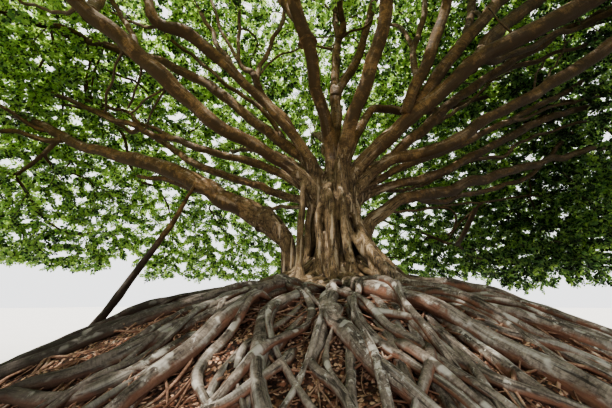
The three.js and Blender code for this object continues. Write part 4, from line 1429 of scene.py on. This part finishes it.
def leafNeed(across, upward):  # how closely the foliage covers each part of the view
    (extra, wide), (less, high) = needPlan["right"], needPlan["rightTop"]
    need = 1 + extra * (ramped(across, *wide) * (1 - less * ramped(upward, *high)))
    for part in ("lowRight", "lowLeft", "highLeft"):
        extra, wide, high = needPlan[part]
        need = need + extra * (ramped(across, *wide) * ramped(upward, *high))
    extra, wide, high = needPlan["topMiddle"]
    return need + extra * (ramped(abs(across - needPlan["middle"]), *wide) * ramped(upward, *high))


def lattice(spacing, rng, low, high):
    axes = [np.arange(low[axis], high[axis], spacing) for axis in range(3)]
    grid = np.stack(np.meshgrid(*axes, indexing="ij"), axis=-1).reshape(-1, 3)
    return grid + rng.uniform(-crown["jitter"], crown["jitter"], grid.shape) * spacing


def insideMasses(points, trees, spill):  # number of the leaf mass that holds each point, or -1
    owners = np.full(len(points), -1)
    for number, tree in enumerate(trees):
        for index in np.nonzero(owners < 0)[0]:
            spot = Vector(points[index])
            found, normal, _, distance = tree.find_nearest(spot, crown["nearest"])
            if found is not None and ((spot - found).dot(normal) < 0 or distance < spill[index]):
                owners[index] = number
    return owners


def thinPlaces(wood, trees, rng):  # places in the leaf masses where the view finds too little foliage
    shoots = np.concatenate([branch["path"][len(branch["path"]) // 2:] for branch in wood.branches
                             if branch["level"] == 2])
    across, upward, depth = seenAt(shoots)
    cell = crown["gapCell"]
    edges = [np.arange(-edge, edge + cell, cell) for edge in crown["viewEdge"]]
    weights = (depth > 0) / np.maximum(depth, 1.0) ** 2
    load = np.histogram2d(across, upward, bins=edges, weights=weights)[0].reshape(-1)
    middles = np.stack(np.meshgrid(*[edge[:-1] + cell / 2 for edge in edges], indexing="ij"), -1)
    middles = middles.reshape(-1, 2)
    load /= leafNeed(middles[:, 0], middles[:, 1])
    middles = middles[load < crown["gapLevel"] * np.median(load[load > 0])]
    tries = crown["gapTries"]
    sides = np.repeat(middles, tries, axis=0)
    sides = sides + rng.uniform(-cell / 2, cell / 2, sides.shape)
    ahead, right, up = viewAxes()
    distance = rng.uniform(*crown["gapDepths"], (len(sides), 1))
    points = view["stand"] + distance * (ahead + sides[:, :1] * right + sides[:, 1:] * up)
    owners = insideMasses(points, trees, spillReach(points))
    within = (owners >= 0).reshape(-1, tries)
    chosen = (within & (np.cumsum(within, axis=1) <= crown["gapTwigs"])).reshape(-1)
    return points[chosen], owners[chosen]


class Wood:  # every place that a branch may grow from
    room = 90000

    def __init__(self):
        self.spots = np.zeros((self.room, 3))
        self.headings = np.zeros((self.room, 3))
        self.trails = np.zeros(self.room)
        self.count = 0
        self.branches = []

    def add(self, path, trail):
        size = len(path)
        chosen = slice(self.count, self.count + size)
        self.spots[chosen] = path
        self.headings[chosen] = unit(np.gradient(path, axis=0))
        self.trails[chosen] = trail + marksAlong(path)
        self.count += size
        return chosen

    def grow(self, target, plan, rng, level, mass):  # from the spot that costs least to reach the target
        count = self.count
        gap = target - self.spots[:count]
        distance = np.linalg.norm(gap, axis=1)
        straight = (gap * self.headings[:count]).sum(axis=1) / np.maximum(distance, 1e-6)
        cost = distance * (1 + plan["turnCost"] * (1 - straight)) + plan["trailCost"] * self.trails[:count]
        pick = int(np.argmin(cost))
        length = distance[pick]
        start = self.spots[pick]
        upward = crown["flatten"] * (target[2] - crown["centre"])
        outward = unit(np.array([target[0], target[1], upward]))
        finish = unit(gap[pick] / max(length, 1e-6) + crown["outward"] * outward)
        first = start + self.headings[pick] * crown["leave"] * length
        second = target - finish * crown["arrive"] * length
        size = int(np.clip(length / plan["step"], *crown["pathSteps"])) + 1
        t = np.linspace(0, 1, size)[:, None]
        path = ((1 - t) ** 3 * start + 3 * (1 - t) ** 2 * t * first
                + 3 * (1 - t) * t**2 * second + t**3 * target)
        sway = rng.normal(0, 1, (3, 3))
        for wave in range(1, 4):
            path = path + np.sin(math.pi * wave * t) * sway[wave - 1] * plan["wander"] * length / wave
        chosen = self.add(path[1:], self.trails[pick])
        self.branches.append({"path": path, "from": pick, "spots": chosen, "level": level, "mass": mass})


def growCrown(boughs, rng):
    trees = [massTree(name) for name in massObjects()]
    wood = Wood()
    for name, (path, _) in boughs.items():
        if name not in standingStems:
            lowest = crown["bareBelow"] if name in boughRoutes else 0.0
            keep = (path[:, 2] > lowest) & (np.arange(len(path)) % crown["boughStep"] == 0)
            wood.add(path[keep], np.linalg.norm(path[keep][0] - path[0]))
    boughSpots = wood.spots[: wood.count].copy()
    least, more = crown["kept"]
    for level, spacing in ((1, crown["limbSpacing"]), (2, crown["twigSpacing"])):
        plan = crown["limb" if level == 1 else "branchlet"]
        targets = lattice(spacing, rng, crown["low"], crown["high"])
        spill = spillReach(targets) if level == 2 else np.full(len(targets), crown["limbSpill"])
        owners = insideMasses(targets, trees, spill)
        keep = (owners >= 0) & (rng.uniform(0, 1, len(targets)) < least + more * crownDepth(targets))
        targets, owners = targets[keep], owners[keep]
        near = np.array([np.linalg.norm(boughSpots - target, axis=1).min() for target in targets])
        for index in np.argsort(near):
            wood.grow(targets[index], plan, rng, level, owners[index])
        report(f"crown level {level}: {len(targets)} branches")
    targets, owners = thinPlaces(wood, trees, rng)
    for target, owner in zip(targets, owners):
        wood.grow(target, crown["branchlet"], rng, 2, owner)
    report(f"{len(targets)} branches added in gaps")
    return wood


def branchRadii(wood):  # pipe rule: a branch is as thick as the tips that it carries ask for
    tips = np.zeros(wood.count)
    radii = [None] * len(wood.branches)
    for index in range(len(wood.branches) - 1, -1, -1):
        branch = wood.branches[index]
        carried = tips[branch["spots"]]
        carried[-1] += 1
        load = np.cumsum(carried[::-1])[::-1]
        tips[branch["from"]] += load[0]
        radii[index] = crown["tipRadius"] * np.concatenate([[load[0]], load]) ** crown["pipe"]
    return radii


def evenPaths(wood, radii, level, rings):
    paths, widths = [], []
    for branch, radius in zip(wood.branches, radii):
        if branch["level"] == level:
            spots = np.linspace(0, len(radius) - 1, rings)
            marks = np.arange(len(radius))
            columns = [np.interp(spots, marks, branch["path"][:, axis]) for axis in range(3)]
            paths.append(np.column_stack(columns))
            widths.append(np.interp(spots, marks, radius))
    return np.array(paths), np.array(widths)


def buildBranches(wood):
    radii = branchRadii(wood)
    for level, plan, name, finish in ((1, crown["limb"], "limbs", "boughBark"),
                                      (2, crown["branchlet"], "branchlets", "twigBark")):
        paths, widths = evenPaths(wood, radii, level, plan["rings"])
        shape = tubes(paths, widths, plan["sides"])
        standFor(meshObject(name, shape, finishes[finish]), "bough_bark")
    report("branches made")


# Sprays of leaves

spray = {
    "kinds": 12, "seed": 60, "length": 0.27, "droop": 0.12, "stemRadius": 0.003,
    "leaves": 12, "firstLeaf": 0.12, "leafLength": 0.112, "leafWidth": 0.67,
    "lengthSpread": (0.75, 1.15), "widthSpread": (0.88, 1.15), "shrink": (1.05, 0.2),
    "spread": 54.0, "spreadRange": (0.55, 1.35), "endSpread": 20, "roll": 38, "pitch": (-30, 34),
    "shifts": (-3, -1, 0, 1), "shiftShares": (0.22, 0.20, 0.30, 0.28),  # painted shade and light from leaf to leaf: steps of tint within a spray
    "curve": (0.10, 0.22), "fold": 0.30,
}
foliage = {
    "count": 36500, "gap": 0.048, "margin": (0.30, 0.34, 0.10), "bareLimb": 0.62, "bareTwig": (0.28, 0.9),
    "lean": (0.6, 1.3), "endLean": 0.15, "stray": 0.22, "outward": 0.62, "tumble": 0.24,
    "centre": (0, 0, 3.2),
    "sizeDistance": 8.7, "sizeLimits": (0.72, 1.04), "sizeSpread": (0.85, 1.15),  # close leaves are small,
    "unframedSize": 1.45, "unframedShare": 0.44,  # and those that the picture doesn't show large and fewer
}

leafOutline = [(0, 0), (0.46, -1.0), (1, 0), (0.46, 1.0)]  # shares of the length and of half the width
leafFaces = np.array([(0, 1, 2), (0, 2, 3)])


def leafCorners(length, width):
    half = width * length / 2
    (rise, drop), fold = spray["curve"], spray["fold"]
    return np.array([(x * length, y * half, length * (rise * x - drop * x * x) + fold * abs(y) * half)
                     for x, y in leafOutline])


def turned(vectors, axis, angle):
    axis = np.asarray(axis, float)
    cosine, sine = math.cos(angle), math.sin(angle)
    return (vectors * cosine + np.cross(axis, vectors) * sine
            + axis * (vectors @ axis)[..., None] * (1 - cosine))


def spike(tip, radius):  # thin three-sided stem that comes to a point
    turn = np.arange(3) * 2 * math.pi / 3
    base = np.column_stack([0 * turn, np.cos(turn), np.sin(turn)]) * radius
    faces = np.array([[0, 2, 1], [0, 1, 3], [1, 2, 3], [2, 0, 3]])
    return {"points": np.vstack([base, tip]), "faces": [faces]}


def sprayLeaf(rng, along, side):  # a leaf at this share of the stem, turned to one side or ahead
    large, smaller = spray["shrink"]
    size = spray["leafLength"] * rng.uniform(*spray["lengthSpread"]) * (large - smaller * along)
    corners = leafCorners(size, spray["leafWidth"] * rng.uniform(*spray["widthSpread"]))
    if side == 0:
        spread = rng.uniform(-spray["endSpread"], spray["endSpread"])
    else:
        spread = side * spray["spread"] * rng.uniform(*spray["spreadRange"])
    corners = turned(corners, (1, 0, 0), math.radians(rng.uniform(-spray["roll"], spray["roll"])))
    corners = turned(corners, (0, 1, 0), math.radians(rng.uniform(*spray["pitch"])))
    return turned(corners, (0, 0, 1), math.radians(spread))


def sprayTemplates():
    leaves, stems = [], []
    count = spray["leaves"]
    tip = np.array([1, 0, -spray["droop"]]) * spray["length"]
    for kind in range(spray["kinds"]):
        rng = np.random.default_rng(spray["seed"] + kind)
        stems.append(meshObject(f"sprayStem{kind}", spike(tip, spray["stemRadius"]), finishes["twigBark"]))
        points, faces, shifts = [], [], []
        for number in range(count):
            along = spray["firstLeaf"] + (1 - spray["firstLeaf"]) * number / (count - 1)
            side = 0 if number == count - 1 else 1 if number % 2 else -1
            points.append(sprayLeaf(rng, along, side) + tip * along)
            faces.append(leafFaces + number * len(leafOutline))
            shifts += [rng.choice(spray["shifts"], p=spray["shiftShares"])] * len(leafOutline)
        shape = {"points": np.concatenate(points), "faces": [np.concatenate(faces)],
                 "shift": np.array(shifts)}
        leaves.append(meshObject(f"sprayLeaves{kind}", shape, leafFinishes[0]))
    return leaves, stems


def gathered(name, things):
    collection = bpy.data.collections.new(name)
    for thing in things:
        bpy.context.scene.collection.objects.unlink(thing)
        collection.objects.link(thing)
    return collection


def scatterTree(name, materials):  # puts a template on each point, as the point's kind, turn and size say
    tree, graph, entry = newTree(name, [("Templates", "NodeSocketCollection")])
    chosen = graph.wire("GeometryNodeCollectionInfo", None, {
        "Collection": entry["Templates"], "Separate Children": True, "Reset Children": True})
    placed = graph.wire("GeometryNodeInstanceOnPoints", None, {
        "Points": entry["Geometry"], "Instance": chosen, "Pick Instance": True,
        "Instance Index": graph.field("kind", "INT"), "Rotation": graph.field("turn"),
        "Scale": graph.field("size", "FLOAT")})
    shown = graph.wire("GeometryNodeRealizeInstances", None, {0: placed})
    shade = graph.field("tint", "INT") + graph.field("shift", "INT")
    shade = shade.math("MAXIMUM", shade, 0.0)
    shade = shade.math("MINIMUM", shade, len(materials) - 1)
    for number, material in enumerate(materials):
        values = {"Geometry": shown, "Material": material}
        if len(materials) > 1:
            settings = {"data_type": "INT", "operation": "EQUAL"}
            values["Selection"] = graph.wire("FunctionNodeCompare", settings, {2: shade, 3: number})
        shown = graph.wire("GeometryNodeSetMaterial", None, values)
    graph.node("NodeGroupOutput", None, {0: shown})
    return tree


def eulersFrom(along, above):
    along = unit(along)
    above = unit(above - (above * along).sum(-1, keepdims=True) * along)
    side = np.cross(above, along)
    return np.column_stack([
        np.arctan2(side[:, 2], above[:, 2]), np.arcsin(np.clip(-along[:, 2], -1, 1)),
        np.arctan2(along[:, 1], along[:, 0])])


def spraySpots(wood, rng):
    spots, headings, masses = [], [], []
    least, longest = foliage["bareTwig"]
    for branch in wood.branches:
        path = branch["path"]
        marks = marksAlong(path)
        bare = foliage["bareLimb"] if branch["level"] == 1 else max(least, 1 - longest / marks[-1])
        wanted = np.append(np.arange(bare * marks[-1], marks[-1], foliage["gap"]), marks[-1])
        along = unit(np.gradient(path, axis=0))
        for number, mark in enumerate(wanted):
            heading = unit(np.array([np.interp(mark, marks, along[:, axis]) for axis in range(3)]))
            side = unit(np.cross(heading, (0, 0, 1))) * (1 if number % 2 else -1)
            lean = foliage["endLean"] if mark == wanted[-1] else rng.uniform(*foliage["lean"])
            spots.append([np.interp(mark, marks, path[:, axis]) for axis in range(3)])
            headings.append(heading + side * lean + rng.normal(0, foliage["stray"], 3))
            masses.append(branch["mass"])
    return np.array(spots), np.array(headings), np.array(masses)


def sprayScale(depth):
    return np.clip(depth / foliage["sizeDistance"], *foliage["sizeLimits"])


def crowding(points):  # over 1 where the view has more leaves than it needs in a spot's direction
    across, upward, depth = seenAt(points)
    wide, high = crown["viewEdge"]
    inFrame = (depth > 0) & (abs(across) < wide) & (abs(upward) < high)
    cell = crown["viewCell"]
    keys = ((across + wide) / cell).astype(int) * crown["viewStride"] + ((upward + high) / cell).astype(int)
    keys = np.where(inFrame, keys, 0)
    load = np.bincount(keys, weights=inFrame * (sprayScale(depth) / np.maximum(depth, 1.0)) ** 2)
    share = load[keys] / np.median(load[keys[inFrame]]) / leafNeed(across, upward)
    return np.where(inFrame, share ** crown["evenness"], 1 / foliage["unframedShare"]), inFrame


# painted light and shade on the leaves: a spray's tint step is lighter higher up, low down and to the left,
# darker on the right, and varies in clumps and at random
paintedLeafLight = {
    "base": 3.88, "across": -0.05, "upward": 0.09, "level": 6.5, "spread": 1.15,
    "right": -0.95, "rightFrom": (2.0, 7.0), "low": 0.65, "lowFrom": (5.6, 3.8), "clumps": (0.85, 2.6, 31),
}


def chooseTints(spots, rng):
    plan = paintedLeafLight
    clump, wave, seed = plan["clumps"]
    light = plan["base"] + plan["across"] * spots[:, 0] + plan["upward"] * (spots[:, 2] - plan["level"])
    light = light + plan["right"] * ramped(spots[:, 0], *plan["rightFrom"])
    light = light + plan["low"] * ramped(spots[:, 2], *plan["lowFrom"]) + clump * ripple(spots, wave, seed)
    light = light + rng.normal(0, plan["spread"], len(spots))
    return np.clip(np.round(light), 0, len(leafTints) - 1).astype(int)


sunFlecks = {
    "onRoots": 34, "onTrunk": 5, "onBoughs": 60, "radius": 0.21, "clearance": 0.3,
    "rootBearing": (105, 255), "rootOut": (0.7, 4.8),
    "trunkBearing": (150, 270), "trunkOut": 0.5, "trunkHeight": (2.1, 3.5),
}


def sunward():
    tilt, _, turn = [math.radians(angle) for angle in studio["sunTurn"]]
    return np.array([math.sin(turn) * math.sin(tilt), -math.cos(turn) * math.sin(tilt), math.cos(tilt)])


def sunlit(spots, boughs, rng):  # sprays that would shade one of the sunny patches on roots, trunk and boughs
    plan = sunFlecks
    count = plan["onRoots"]
    bearing, out = rng.uniform(*plan["rootBearing"], count), rng.uniform(*plan["rootOut"], count)
    targets = [place(bearing, out, moundHeight(bearing, out))]
    count = plan["onTrunk"]
    bearing, height = rng.uniform(*plan["trunkBearing"], count), rng.uniform(*plan["trunkHeight"], count)
    targets.append(place(bearing, plan["trunkOut"], height))
    lit = [boughs[name][0] for name in boughRoutes]
    for _ in range(plan["onBoughs"]):
        path = lit[rng.integers(len(lit))]
        targets.append(path[None, rng.integers(len(path) // 2)])
    clear = np.zeros(len(spots), bool)
    for target in np.concatenate(targets):
        gap = spots - target
        along = gap @ sunward()
        aside = np.linalg.norm(gap - along[:, None] * sunward(), axis=1)
        clear |= (along > plan["clearance"]) & (aside < plan["radius"])
    return clear


def chooseSprays(wood, boughs, rng):  # where each spray stands, how it is turned, and its size, kind and tint
    spots, headings, masses = spraySpots(wood, rng)
    ends = spots + unit(headings) * spray["length"]
    margin = np.array(foliage["margin"])
    inside = np.all((ends > cadBox[0] - margin) & (ends < cadBox[1] + margin), axis=1)
    shading = sunlit((spots + ends) / 2, boughs, rng)
    report(f"{len(spots)} sprays found, {inside.sum()} inside, {shading.sum()} of them shade a sunny patch")
    inside &= ~shading
    crowded, inFrame = crowding(spots)
    scales = np.where(inFrame, sprayScale(seenAt(spots)[2]), foliage["unframedSize"])
    report(f"{inFrame.mean():.0%} of the sprays may be seen")
    rank = rng.uniform(0, 1, len(spots)) * crowded
    rank[~inside] = np.inf
    chosen = np.sort(np.argsort(rank)[: min(foliage["count"], inside.sum())])
    spots, headings, masses = spots[chosen], headings[chosen], masses[chosen]
    share = foliage["outward"]
    above = share * unit(spots - foliage["centre"]) + (0, 0, 1 - share)
    above = above + rng.normal(0, foliage["tumble"], spots.shape)
    return masses, {
        "points": spots, "turn": eulersFrom(headings, above),
        "size": rng.uniform(*foliage["sizeSpread"], len(spots)) * scales[chosen],
        "kind": rng.integers(0, spray["kinds"], len(spots)), "tint": chooseTints(spots, rng)}


def buildLeaves(wood, boughs, rng):
    leaves, stems = sprayTemplates()
    parts = [("leaves", "_foliage", gathered("sprayLeaves", leaves), scatterTree("leafSprays", leafFinishes)),
             ("twigs", "", gathered("sprayStems", stems), scatterTree("twigSprays", [finishes["twigBark"]]))]
    masses, sprays = chooseSprays(wood, boughs, rng)
    for number, name in enumerate(massObjects()):
        mine = {key: values[masses == number] for key, values in sprays.items()}
        for part, ending, templates, tree in parts:
            thing = meshObject(name.replace("leaves", part) + ending, mine)
            useTree(thing, tree, {"Templates": templates})
            if part == "leaves":
                standFor(thing, "leaf", name)
            else:
                standFor(thing, "bough_bark")
    for _, _, templates, _ in parts:
        for thing in list(templates.objects):
            bpy.data.objects.remove(thing)
        bpy.data.collections.remove(templates)
    report("leaves dealt out")


# Light and floor

studio = {
    "floor": (0.50, 0.49, 0.47), "floorPale": (0.56, 0.55, 0.53), "floorRadius": 90.0, "floorSides": 64,
    "floorDrop": 0.002, "floorTone": (0.8, 3.0),
    "zenith": (1.0, 1.0, 1.0), "horizon": (0.85, 0.86, 0.87), "horizonBand": (-0.05, 0.75),
    "skyStrength": 2.1,
    "sunStrength": 7.5, "sunSpread": 0.6, "sunTurn": (27, 0, -49), "sunColour": (1.0, 0.95, 0.86),
    "fillPlace": (1.0, -6.8, 2.5), "fillTurn": (84, 0, 8), "fillSize": 4.0, "fillPower": 115.0,
    "look": "AgX - Medium High Contrast",
}


def addLamp(name, kind, turn, values):
    data = bpy.data.lights.new(name, kind)
    for key, value in values.items():
        setattr(data, key, value)
    lamp = bpy.data.objects.new(name, data)
    lamp.rotation_euler = [math.radians(angle) for angle in turn]
    bpy.context.scene.collection.objects.link(lamp)
    return lamp


def addDaylight():
    world = bpy.data.worlds.new("studio")
    world.use_nodes = True
    world.node_tree.nodes.clear()
    graph = Graph(world.node_tree)
    way = graph.wire("ShaderNodeTexCoord")
    height = graph.wire("ShaderNodeSeparateXYZ", None, {0: way}, 2)
    colour = graph.mix(graph.band(height, *studio["horizonBand"]), studio["horizon"], studio["zenith"])
    light = graph.wire("ShaderNodeBackground", None, {"Color": colour, "Strength": studio["skyStrength"]})
    graph.node("ShaderNodeOutputWorld", None, {"Surface": light})
    bpy.context.scene.world = world
    addLamp("sun", "SUN", studio["sunTurn"], {
        "energy": studio["sunStrength"], "angle": math.radians(studio["sunSpread"]),
        "color": studio["sunColour"]})
    fill = addLamp("fill", "AREA", studio["fillTurn"], {
        "size": studio["fillSize"], "energy": studio["fillPower"]})
    fill.location = studio["fillPlace"]
    fill.visible_camera = False
    bpy.context.scene.view_settings.look = studio["look"]


def addFloor():
    sides = studio["floorSides"]
    turn = np.arange(sides) * 2 * math.pi / sides
    rim = np.column_stack([np.cos(turn), np.sin(turn), 0 * turn]) * studio["floorRadius"]
    rim[:, 2] = -studio["floorDrop"]
    material, graph = newMaterial("studioFloor")
    tone = graph.noise(graph.objectPlace(), *studio["floorTone"])
    graph.coat({"Base Color": graph.mix(tone, studio["floor"], studio["floorPale"]), "Roughness": 0.9})
    meshObject("studioFloor", {"points": rim, "faces": [np.arange(sides)[None]]}, material)


addDaylight()
addFloor()
boughs = buildBoughs()
buildTrunk(boughs)
buildPlate()
buildRoots()
crownRng = np.random.default_rng(crown["seed"])
wood = growCrown(boughs, crownRng)
buildBranches(wood)
buildLeaves(wood, boughs, crownRng)
